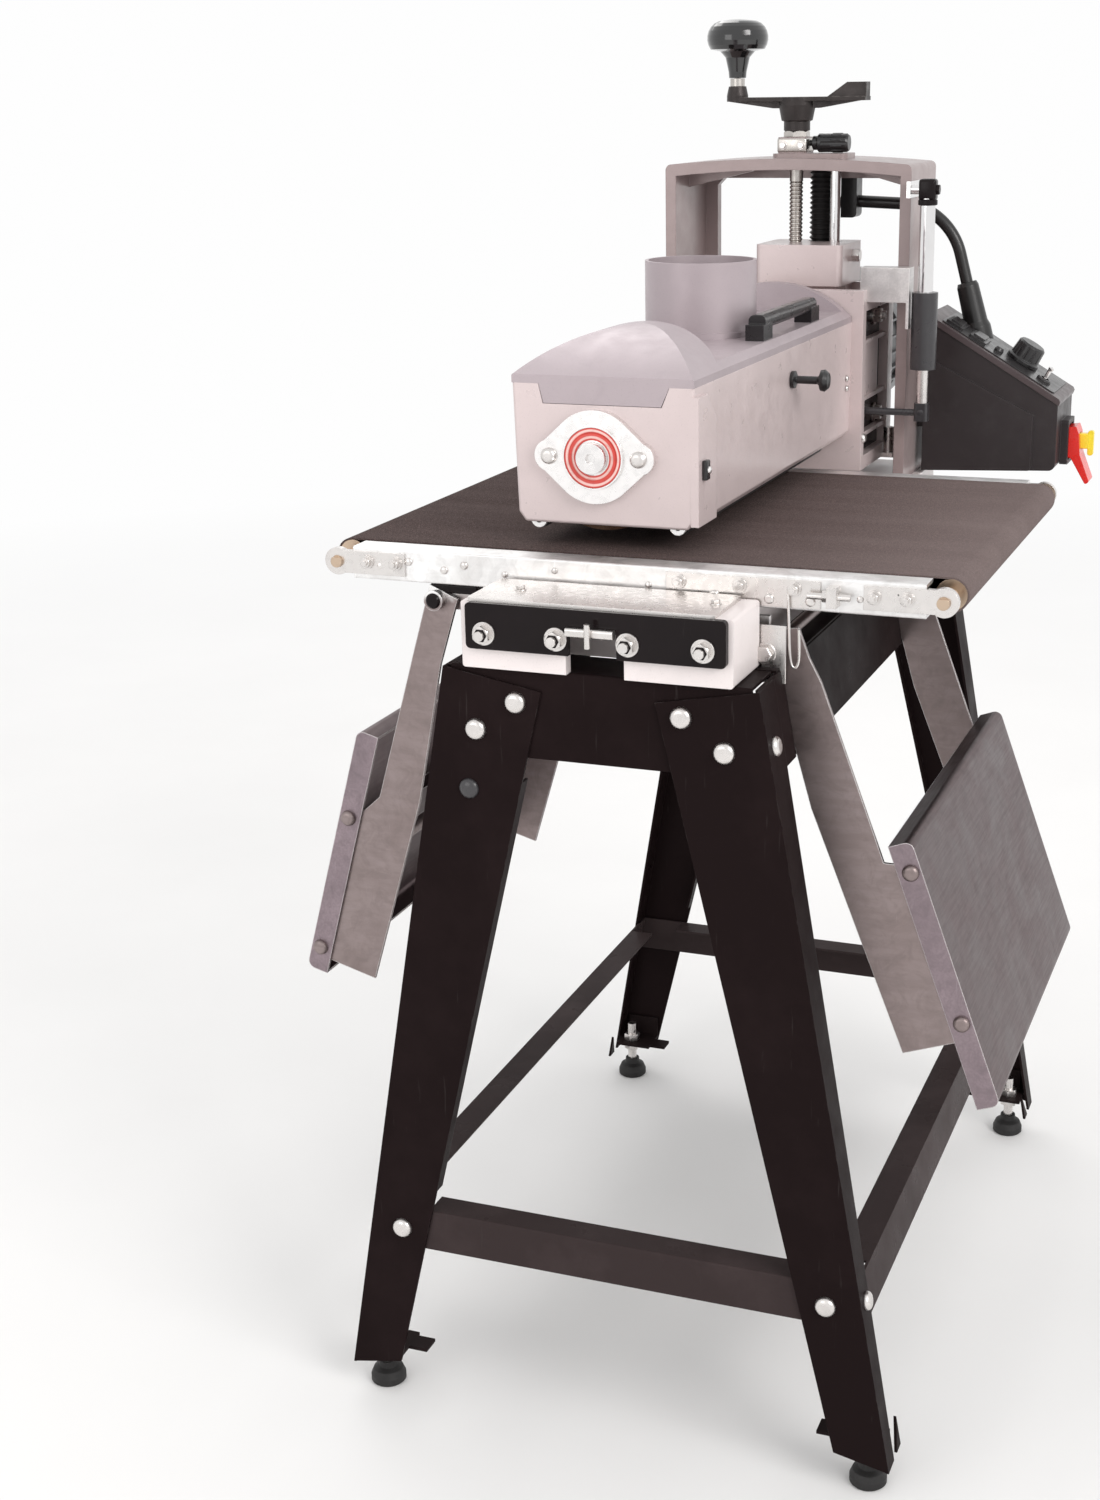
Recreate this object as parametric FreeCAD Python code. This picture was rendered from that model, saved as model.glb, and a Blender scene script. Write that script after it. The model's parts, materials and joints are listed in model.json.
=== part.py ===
"""Open-end drum sander: cantilevered sanding head over a conveyor bed, on a splayed steel stand.

Machine coordinates while modelling: +X along the drum towards the closed (motor) end, +Y towards the
outfeed side, +Z up, with the drum axis crossing the open end of the head at (0, 0, 0).  Every sub-part
is moved by FRAME_SHIFT when it is written, so that the stored frame has its origin on the floor under
the middle of the machine.  Millimetres.
"""
import FreeCAD
import Part
import math
import os

V = FreeCAD.Vector
X_AXIS = V(1, 0, 0)
Y_AXIS = V(0, 1, 0)
Z_AXIS = V(0, 0, 1)

# ---- driving dimensions -------------------------------------------------------------------------
FLOOR_Z = -848.0              # floor below the drum axis
MIDDLE_X = 346.0              # middle of the overall length
MIDDLE_Y = -45.0              # middle of the overall depth, tables folded
FRAME_SHIFT = V(-MIDDLE_X, -MIDDLE_Y, -FLOOR_Z)

SHEET = 2.5                   # stand sheet thickness
RUN = 0.05                    # radial clearance of running fits

# stand
STAND_Y = -41.0               # centre plane of stand, base and bed
STAND_X0 = -114.5             # outer face of the end legs
STAND_X1 = 591.5
STAND_XC = (STAND_X0 + STAND_X1) / 2
STAND_TOP = -151.0
LEG_SPLAY = 0.176             # sideways run of a leg per unit of drop
LEG_HALF_TOP = 131.0          # outer half width at the stand top
LEG_WIDE = 84.0
LEG_NARROW = 48.0
LEG_END = -820.0
APRON_DROP = 73.0
BRACE_Z = -652.0              # top of the lower braces
BRACE_H = 38.0
FOOT_HALF = 226.0
FOOT_INSET = 23.0

# conveyor bed
BELT_TOP = -76.0
BELT_T = 1.5
ROLLER_R = 12.5
ROLLER_Z = BELT_TOP - BELT_T - ROLLER_R
ROLLER_HALF = 256.0           # roller axes either side of STAND_Y
BELT_X0 = -20.0
BELT_X1 = 390.0
BED_X0 = -46.0
BED_X1 = 416.0
RAIL_BOTTOM = -104.0
RAIL_W = 24.0

# base casting
BASE_X0 = -118.0
BASE_TOP = -97.0
BASE_HALF = 112.0
BASE_DECK = -112.0
ARCH_FOOT_TOP = -107.0

# arch
ARCH_X0 = 540.0
ARCH_X1 = 655.0
ARCH_Y0 = -132.0
ARCH_Y1 = 126.0
ARCH_TOP = 208.0
ARCH_CREST = 214.0
ARCH_SOFFIT = 201.0
SCREW_X = 590.0
SCREW_R = 7.0
GUIDE_A = (590.0, -42.0, 5.5)   # x, y, radius of the bare guide rod
GUIDE_B = (612.0, -22.0, 6.5)   # guide rod inside the bellows
BELLOWS_R = 13.0
CARRIAGE_X1 = 636.0
GIB_Y = -85.0                 # outer face of the black gib plate in the carriage window
GAS_X = 525.0
GAS_Y = -152.5
GAS_END_R = 5.8               # bright lower stem of the gas spring

# head
HEAD_L = 505.0
HEAD_Y0 = -83.0
HEAD_Y1 = 73.0
HEAD_Z0 = -57.0
SEAM_Z = 57.0
WALL = 7.0
DRUM_R = 63.5
DRUM_X0 = 16.0
DRUM_L = 406.0
SHAFT_R = 12.5
PORT_X = 272.0
PORT_R = 50.8
PORT_TOP = 135.0
COVER_APEX = 96.0

# pressure rollers
PRESS_R = 8.0
PRESS_Z = -56.2
PRESS_IN_Y = -66.0
PRESS_OUT_Y = 55.5

# folding tables: pivot y and z, hanging angle from vertical, start, length, height of the top face,
# places of the side bolts from the start, and place of the tube that joins the arms
INFEED = dict(side=-1, y=-157.0, z=-140.0, hang=20.0, start=177.0, length=232.0, top=63.5,
              bolts=(25.0, 157.0), tube=(237.0, 41.0))
OUTFEED = dict(side=1, y=128.0, z=-118.0, hang=15.5, start=137.0, length=236.0, top=44.0,
               bolts=(82.0, 213.0), tube=(250.0, 8.0))
TABLE_X0 = -44.0
TABLE_X1 = 338.0
ARM_T = 3.0
ARM_PLANES = (TABLE_X0 + SHEET, TABLE_X1 - SHEET - ARM_T - 0.1)

# control box
BOX_X0 = 594.0
BOX_X1 = 690.0
BOX_BACK = -140.0
BOX_FRONT = -280.0
BOX_SLOPE = 0.6             # fall of the panel per unit towards the operator
BOX_TOP = 59.0                # panel height at the back edge
LID_T = 7.0
PANEL_X = 642.0
LEAD_X = 668.0


# ---- helpers ------------------------------------------------------------------------------------
def block(x0, x1, y0, y1, z0, z1):
    return Part.makeBox(x1 - x0, y1 - y0, z1 - z0, V(x0, y0, z0))


def rod(start, end, radius):
    a = V(*start)
    b = V(*end)
    return Part.makeCylinder(radius, (b - a).Length, a, b - a)


def polygon(points):
    wire = Part.makePolygon([V(*p) for p in points] + [V(*points[0])])
    return Part.Face(wire)


def plate_yz(points, x0, x1):
    return polygon([(x0, y, z) for y, z in points]).extrude(V(x1 - x0, 0, 0))


def plate_xz(points, y0, y1):
    return polygon([(x, y0, z) for x, z in points]).extrude(V(0, y1 - y0, 0))


def plate_xy(points, z0, z1):
    return polygon([(x, y, z0) for x, y in points]).extrude(V(0, 0, z1 - z0))


def fuse(shapes):
    first = shapes[0]
    if len(shapes) == 1:
        return first
    return first.fuse(shapes[1:]).removeSplitter()


def group(shapes):
    return Part.makeCompound(shapes)


def along(axis, edge, tolerance=1e-3):
    ends = [v.Point for v in edge.Vertexes]
    if len(ends) != 2 or edge.Curve.TypeId != "Part::GeomLine":
        return False
    direction = (ends[1] - ends[0]).normalize()
    return abs(abs(direction.dot(axis)) - 1) < tolerance


def round_along(shape, axis, radius, keep=None):
    edges = [e for e in shape.Edges if along(axis, e) and (keep is None or keep(e.CenterOfMass))]
    return shape.makeFillet(radius, edges)


def lathe(profile, base, axis):
    """Turn a closed list of (radius, height) points about axis through base."""
    face = polygon([(r, 0, h) for r, h in profile])
    solid = face.revolve(V(0, 0, 0), Z_AXIS, 360)
    solid.Placement = FreeCAD.Placement(V(*base), FreeCAD.Rotation(Z_AXIS, axis))
    return solid


def dome_bolt(base, axis, radius=9.0, height=5.5):
    head = Part.makeCylinder(radius, height, V(*base), axis)
    rim = [e for e in head.Edges if (e.CenterOfMass - V(*base)).Length > height * 0.9]
    rim = [e for e in rim if e.Curve.TypeId == "Part::GeomCircle"]
    return head.makeFillet(height * 0.85, rim)


def hexagon(base, axis, across, height):
    points = []
    for i in range(6):
        a = math.radians(60 * i)
        points.append((across / math.sqrt(3) * math.cos(a), across / math.sqrt(3) * math.sin(a), 0))
    solid = polygon(points).extrude(V(0, 0, height))
    if height > 3:
        solid = solid.common(Part.makeCone(across * 0.5 + height, across * 0.44, height + across * 0.06))
    solid.Placement = FreeCAD.Placement(V(*base), FreeCAD.Rotation(Z_AXIS, axis))
    return solid


def nut_and_washer(base, axis, across, bolt_r):
    washer = Part.makeCylinder(across * 0.72, 1.8, V(*base), axis)
    seat = V(*base) + axis * 1.8
    nut = hexagon(tuple(seat), axis, across, across * 0.5)
    tip = Part.makeCylinder(bolt_r, across * 0.3, seat + axis * (across * 0.5), axis)
    return washer.fuse([nut, tip]).removeSplitter()


def stadium_yz(y0, y1, zc, radius, x0, x1):
    middle = block(x0, x1, y0, y1, zc - radius, zc + radius)
    ends = [rod((x0, y, zc), (x1, y, zc), radius) for y in (y0, y1)]
    return fuse([middle] + ends)


def mirrored_x(shape):
    return shape.mirror(V(STAND_XC, 0, 0), X_AXIS)


def mirrored_y(shape):
    return shape.mirror(V(0, STAND_Y, 0), Y_AXIS)


def four_corners(shape):
    other = mirrored_y(shape)
    return [shape, other, mirrored_x(shape), mirrored_x(other)]


# ---- stand --------------------------------------------------------------------------------------
def leg_half(z):
    """Outer half width of the stand at height z, outside of the leg flange."""
    return LEG_HALF_TOP + LEG_SPLAY * (STAND_TOP - z)


def leg():
    """Infeed leg of the open end: folded sheet, tapering, wide face on the stand end."""
    y_top = STAND_Y - leg_half(STAND_TOP - 2)
    y_end = STAND_Y - leg_half(LEG_END)
    face_points = [(y_top, STAND_TOP - 2), (y_top + LEG_WIDE, STAND_TOP - 17),
                   (y_end + LEG_NARROW, LEG_END + 10), (y_end, LEG_END)]
    face = plate_yz(face_points, STAND_X0, STAND_X0 + SHEET)
    flange_points = [(y_top, STAND_TOP - 2), (y_top + SHEET, STAND_TOP - 2),
                     (y_end + SHEET, LEG_END), (y_end, LEG_END)]
    flange = plate_yz(flange_points, STAND_X0, STAND_X0 + 44)
    trim = plate_xz([(STAND_X0 + 40, STAND_TOP), (STAND_X0 + 46, STAND_TOP),
                     (STAND_X0 + 46, LEG_END + 30), (STAND_X0 + 28, LEG_END - 5),
                     (STAND_X0 + 20, LEG_END - 5)], y_end - 5, y_top + 10)
    edge_top = V(0, y_top + LEG_WIDE, STAND_TOP - 17)
    edge_end = V(0, y_end + LEG_NARROW, LEG_END + 10)
    lip_top = edge_top + (edge_end - edge_top) * 0.12
    lip_end = edge_top + (edge_end - edge_top) * 0.72
    lip_points = [(lip_top.y - SHEET, lip_top.z), (lip_top.y, lip_top.z), (lip_end.y, lip_end.z),
                  (lip_end.y - SHEET, lip_end.z)]
    lip = plate_yz(lip_points, STAND_X0, STAND_X0 + 13)
    return fuse([face, flange.cut(trim), lip])


def stand():
    parts = {}
    near_legs = [leg(), mirrored_y(leg())]
    parts["legs_open_end"] = group(near_legs)
    parts["legs_closed_end"] = group([mirrored_x(solid) for solid in near_legs])

    x_in = STAND_X0 + SHEET
    bottom = STAND_TOP - APRON_DROP
    half_top = LEG_HALF_TOP - SHEET
    half_low = half_top + LEG_SPLAY * APRON_DROP
    skirt = plate_yz([(STAND_Y - half_top + 4, STAND_TOP), (STAND_Y + half_top - 4, STAND_TOP),
                      (STAND_Y + half_low - 4, bottom), (STAND_Y - half_low + 4, bottom)],
                     x_in, x_in + SHEET)
    shelf = block(x_in, x_in + 52, STAND_Y - half_top + 4, STAND_Y + half_top - 4,
                  STAND_TOP - SHEET, STAND_TOP)
    hem = block(x_in, x_in + 14, STAND_Y - half_low + 50, STAND_Y + half_low - 50, bottom, bottom + SHEET)
    apron = round_along(fuse([skirt, shelf, hem]), Y_AXIS, 2.0,
                        lambda c: c.x < x_in + 0.1 and c.z > STAND_TOP - 0.1)

    y_top = STAND_Y - leg_half(STAND_TOP - 2) + SHEET
    y_low = STAND_Y - leg_half(bottom) + SHEET
    web = plate_yz([(y_top, STAND_TOP - 2), (y_top + SHEET, STAND_TOP - 2), (y_low + SHEET, bottom),
                    (y_low, bottom)], x_in + SHEET + 1, STAND_X1 - 2 * SHEET - 1)
    lip = block(x_in + SHEET + 53, STAND_X1 - 2 * SHEET - 53, y_top + SHEET * 0.4, y_top + 40,
                STAND_TOP - SHEET, STAND_TOP)
    foot_lip = block(x_in + 50, STAND_X1 - 52, y_low + SHEET * 0.5, y_low + 16, bottom, bottom + SHEET)
    side = fuse([web, lip, foot_lip])
    infeed_side = side
    for x in ARM_PLANES:
        slot = block(x - 1.5, x + ARM_T + 1.5, y_low - 5, y_top + 34, -226, STAND_TOP + 1)
        infeed_side = infeed_side.cut(slot)
    parts["stand_top_frame"] = group([apron, mirrored_x(apron), infeed_side, mirrored_y(side)])

    half = leg_half(BRACE_Z) - 4
    end_web = plate_yz([(STAND_Y - half, BRACE_Z), (STAND_Y + half, BRACE_Z),
                        (STAND_Y + half + 5, BRACE_Z - BRACE_H), (STAND_Y - half - 5, BRACE_Z - BRACE_H)],
                       x_in + 0.2, x_in + 0.2 + SHEET)
    end_top = block(x_in + 0.2, x_in + 27, STAND_Y - half + 48, STAND_Y + half - 48, BRACE_Z - SHEET, BRACE_Z)
    end_brace = round_along(fuse([end_web, end_top]), Y_AXIS, 2.0,
                            lambda c: c.x < x_in + 0.4 and c.z > BRACE_Z - 0.1)
    parts["end_braces"] = group([end_brace, mirrored_x(end_brace)])

    z_low = BRACE_Z - BRACE_H
    y_at_top = STAND_Y - leg_half(BRACE_Z) + SHEET + 0.3
    y_at_low = STAND_Y - leg_half(z_low) + SHEET + 0.3
    side_web = plate_yz([(y_at_top, BRACE_Z), (y_at_top + SHEET, BRACE_Z), (y_at_low + SHEET, z_low),
                         (y_at_low, z_low)], x_in + 4, STAND_X1 - SHEET - 4)
    side_top = block(x_in + 46, STAND_X1 - SHEET - 46, y_at_top + 0.5, y_at_top + 26, BRACE_Z - SHEET, BRACE_Z)
    side_brace = fuse([side_web, side_top])
    parts["side_braces"] = group([side_brace, mirrored_y(side_brace)])

    foot_y = STAND_Y - FOOT_HALF
    foot_x = STAND_X0 + FOOT_INSET
    tab_z = LEG_END + 14
    y_flange = STAND_Y - leg_half(tab_z) + SHEET + 0.3
    tab = block(STAND_X0 + SHEET + 0.3, foot_x + 15, y_flange + 3, foot_y + 26, tab_z, tab_z + 3)
    ear = block(STAND_X0 + SHEET + 0.3, STAND_X0 + SHEET + 3.3, y_flange + 8, foot_y + 26, tab_z, tab_z + 26)
    tongue = block(foot_x - 8, foot_x + 10, foot_y + 26, foot_y + 44, tab_z, tab_z + 3)
    hole = rod((foot_x, foot_y, tab_z - 5), (foot_x, foot_y, tab_z + 8), 5.2)
    bracket = fuse([tab, ear, tongue]).cut(hole)
    parts["foot_brackets"] = group(four_corners(bracket))

    pad_h = 21.0
    stud = rod((foot_x, foot_y, FLOOR_Z + pad_h - 4), (foot_x, foot_y, tab_z + 24), 5.0)
    lower_nut = hexagon((foot_x, foot_y, tab_z - 8), Z_AXIS, 16, 8)
    upper_nut = hexagon((foot_x, foot_y, tab_z + 3), Z_AXIS, 16, 8)
    fasteners = four_corners(fuse([stud, lower_nut, upper_nut]))
    pad = lathe([(0, 0), (14.5, 0), (16, 1.5), (16, 7), (13.5, 13), (8.5, 15.5), (8, pad_h), (5.05, pad_h),
                 (5.05, pad_h - 4.05), (0, pad_h - 4.05)], (foot_x, foot_y, FLOOR_Z), Z_AXIS)
    parts["foot_pads"] = group(four_corners(pad))

    outward = V(-1, 0, 0)
    for offset, z in ((69.0, -178.0), (104.0, -203.0)):
        fasteners += four_corners(dome_bolt((STAND_X0, STAND_Y - offset, z), outward))
    fasteners += four_corners(dome_bolt((STAND_X0, STAND_Y - 192.0, BRACE_Z - 19), outward))
    tilt = V(0, -1, LEG_SPLAY).normalize()
    for z in (-199.0, BRACE_Z - 17):
        seat = (STAND_X0 + 16, STAND_Y - leg_half(z), z)
        fasteners += four_corners(dome_bolt(seat, tilt, 8.0, 4.5))
    parts["stand_fasteners"] = group(fasteners)
    return parts


# ---- base ---------------------------------------------------------------------------------------
def base():
    parts = {}
    y0 = STAND_Y - BASE_HALF
    y1 = STAND_Y + BASE_HALF
    nose = round_along(block(BASE_X0, -50, y0, y1, STAND_TOP, BASE_TOP), X_AXIS, 2.5)
    pocket = block(BASE_X0 + 10, -58, y0 + 9, y1 - 9, STAND_TOP - 1, BASE_TOP - 9)
    window = block(BASE_X0 - 1, BASE_X0 + 11, STAND_Y - 24, STAND_Y + 24, STAND_TOP - 1, BASE_TOP - 10)
    nose = nose.cut(pocket).cut(window)
    ledge = block(-51, -24, y0 + 20, y1 - 20, STAND_TOP, RAIL_BOTTOM)
    spine = []
    for side in (-1, 1):
        y_in = STAND_Y + side * (BASE_HALF - 16)
        y_out = STAND_Y + side * (BASE_HALF - 28)
        spine.append(block(-25, ARCH_X0 + 1, min(y_in, y_out), max(y_in, y_out), STAND_TOP, BASE_DECK))
    ties = [block(x, x + 12, y0 + 20, y1 - 20, STAND_TOP, BASE_DECK) for x in (160, 380, 480)]
    pad = block(391, 415, y0 + 20, y1 - 20, STAND_TOP, RAIL_BOTTOM)
    foot = block(ARCH_X0 - 12, ARCH_X1 + 6, ARCH_Y0 - 8, ARCH_Y1 + 6, STAND_TOP, ARCH_FOOT_TOP)
    foot = round_along(foot, Z_AXIS, 8)
    hollow = block(ARCH_X0 + 2, ARCH_X1 - 8, -86, 70, STAND_TOP - 1, ARCH_FOOT_TOP - 10)
    solid = fuse([nose, ledge, pad, foot.cut(hollow)] + spine + ties)
    parts["base_casting"] = solid

    plate = block(BASE_X0 - 2, -51, y0 + 14, y1 - 6, BASE_TOP, BASE_TOP + 3)
    plate = round_along(plate, Z_AXIS, 4)

    x_face = BASE_X0 - 6
    end = round_along(block(x_face, BASE_X0, y0 + 4, y1 - 6, BASE_TOP - 37, BASE_TOP), X_AXIS, 4)
    gap = block(x_face - 1, BASE_X0 + 1, STAND_Y - 20, STAND_Y + 20, BASE_TOP - 38, BASE_TOP - 17)
    parts["end_plate"] = end.cut(gap)

    outward = V(-1, 0, 0)
    hardware = [plate]
    hardware += [nut_and_washer((x_face, STAND_Y + y, BASE_TOP - 24), outward, 13.0, 4.0)
                 for y in (-90.0, -29.5, 29.5, 90.0)]
    bar = block(x_face - 7, x_face, STAND_Y - 19.5, STAND_Y + 19.5, BASE_TOP - 20, BASE_TOP - 13)
    bar = round_along(bar, Y_AXIS, 2)
    pin = rod((x_face - 9.5, STAND_Y, BASE_TOP - 27), (x_face - 9.5, STAND_Y, BASE_TOP - 8), 2.5)
    hardware.append(fuse([bar, pin]))
    parts["base_hardware"] = group(hardware)
    return parts


# ---- conveyor bed -------------------------------------------------------------------------------
def bed():
    parts = {}
    y_out = STAND_Y + ROLLER_HALF
    y_in = STAND_Y - ROLLER_HALF
    z = ROLLER_Z

    outer = stadium_yz(y_in, y_out, z, ROLLER_R + BELT_T, BELT_X0, BELT_X1)
    inner = stadium_yz(y_in, y_out, z, ROLLER_R + 0.05, BELT_X0 - 1, BELT_X1 + 1)
    parts["conveyor_belt"] = outer.cut(inner)

    top = z + ROLLER_R - 0.4
    platen = block(BED_X0 + RAIL_W, BED_X1 - RAIL_W, y_in + 18, y_out - 18, top - 3, top)
    sides = [block(x, x + 3, y_in + 18, y_out - 18, z - 9, top)
             for x in (BED_X0 + RAIL_W, BED_X1 - RAIL_W - 3)]
    ribs = [block(BED_X0 + RAIL_W, BED_X1 - RAIL_W, y, y + 3, z - 9, top)
            for y in (y_in + 18, STAND_Y - 120, STAND_Y, STAND_Y + 120, y_out - 21)]
    parts["bed_platen"] = fuse([platen] + sides + ribs)

    def rail(x_web, x_inner):
        lo = min(x_web, x_inner)
        hi = max(x_web, x_inner)
        sign = 1 if x_inner > x_web else -1
        body = block(lo, hi, y_in + 14, y_out - 14, RAIL_BOTTOM, BELT_TOP - 1)
        gutter = block(min(x_web + sign * 3, x_inner + sign), max(x_web + sign * 3, x_inner + sign),
                       y_in + 13, y_out - 13, RAIL_BOTTOM + 3, BELT_TOP - 4)
        return round_along(body.cut(gutter), Y_AXIS, 1.5, lambda c: abs(c.x - x_web) < 0.1)

    parts["bed_rails"] = group([rail(BED_X0, BED_X0 + RAIL_W), rail(BED_X1, BED_X1 - RAIL_W)])

    brackets = []
    for y, sign in ((y_in, -1), (y_out, 1)):
        for x0, x1 in ((BED_X0 - 2, BED_X0 + 4), (BED_X1 - 4, BED_X1 + 2)):
            hub = rod((x0, y, z), (x1, y, z), 11.5)
            y_far = y - sign * 62
            tail = block(x0, x1, min(y, y_far), max(y, y_far), z - 9.5, z + 9.5)
            keep_off = block(BED_X0 - 0.05, BED_X1 + 0.05, min(y - sign * 13, y_far - sign),
                             max(y - sign * 13, y_far - sign), z - 40, z + 40)
            bore = rod((x0 - 1, y, z), (x1 + 1, y, z), 5 + RUN)
            brackets.append(fuse([hub, tail]).cut(keep_off).cut(bore))

    for name, y in (("drive_roller", y_out), ("idler_roller", y_in)):
        barrel = rod((BELT_X0 + 0.5, y, z), (BELT_X1 - 0.5, y, z), ROLLER_R - 0.02)
        journal = rod((BED_X0 - 5, y, z), (BED_X1 + (10 if name == "drive_roller" else 5), y, z), 5)
        flat = block(BED_X0 - 6, BED_X0 - 2.5, y - 6, y + 6, z + 3.6, z + 6)
        parts[name] = fuse([barrel, journal]).cut(flat)

    heads = list(brackets)
    outward = V(-1, 0, 0)
    for y in (y_out - 28, y_out - 54, y_in + 28, y_in + 54):
        heads.append(nut_and_washer((BED_X0 - 2, y, z + 1), outward, 8.0, 2.4))
    overlay = block(BED_X0 - 1.5, BED_X0, STAND_Y - 160, STAND_Y - 34, RAIL_BOTTOM + 2, BELT_TOP - 4)
    heads.append(overlay)
    for y in (STAND_Y - 45, STAND_Y - 95, STAND_Y - 139):
        heads.append(nut_and_washer((BED_X0 - 1.5, y, z + 3), outward, 8.0, 2.4))
    for y in (STAND_Y - 74, STAND_Y - 119, STAND_Y - 152):
        heads.append(dome_bolt((BED_X0 - 1.5, y, z - 6), outward, 4.0, 2.2))
    screw_y0 = STAND_Y - 171
    screw_y1 = STAND_Y - 191
    anchor = block(BED_X0 - 12, BED_X0, screw_y0 - 4, screw_y0 + 4, z - 8, z + 8)
    take_up = rod((BED_X0 - 7, screw_y1 + 6, z), (BED_X0 - 7, screw_y0 + 20, z), 2.6)
    jam = hexagon((BED_X0 - 7, screw_y0 + 4, z), Y_AXIS, 8, 4)
    heads.append(fuse([anchor, take_up, jam]))
    parts["bed_fixings"] = group(heads)

    x0 = BED_X1 + 2
    gearbox = round_along(block(x0, x0 + 52, y_out - 34, y_out + 26, z - 34, z + 26), X_AXIS, 8)
    gearbox = gearbox.cut(rod((x0 - 1, y_out, z), (x0 + 9, y_out, z), 5 + RUN))
    can = rod((x0 + 52, y_out - 4, z - 4), (x0 + 104, y_out - 4, z - 4), 26)
    parts["conveyor_gearmotor"] = fuse([gearbox, can])
    return parts


# ---- arch, screw and crank ----------------------------------------------------------------------
def arch_band(inset, x0, x1):
    """Filled arch outline, shrunk by inset, with a slightly crowned top, reaching the base casting."""
    left = ARCH_Y1 - inset
    right = ARCH_Y0 + inset
    middle = (left + right) / 2
    crown = Part.Arc(V(x0, left, ARCH_TOP - inset), V(x0, middle, ARCH_CREST - inset),
                     V(x0, right, ARCH_TOP - inset)).toShape()
    down = Part.makeLine(V(x0, right, ARCH_TOP - inset), V(x0, right, ARCH_FOOT_TOP))
    across = Part.makeLine(V(x0, right, ARCH_FOOT_TOP), V(x0, left, ARCH_FOOT_TOP))
    up = Part.makeLine(V(x0, left, ARCH_FOOT_TOP), V(x0, left, ARCH_TOP - inset))
    return Part.Face(Part.Wire([crown, down, across, up])).extrude(V(x1 - x0, 0, 0))


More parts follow.
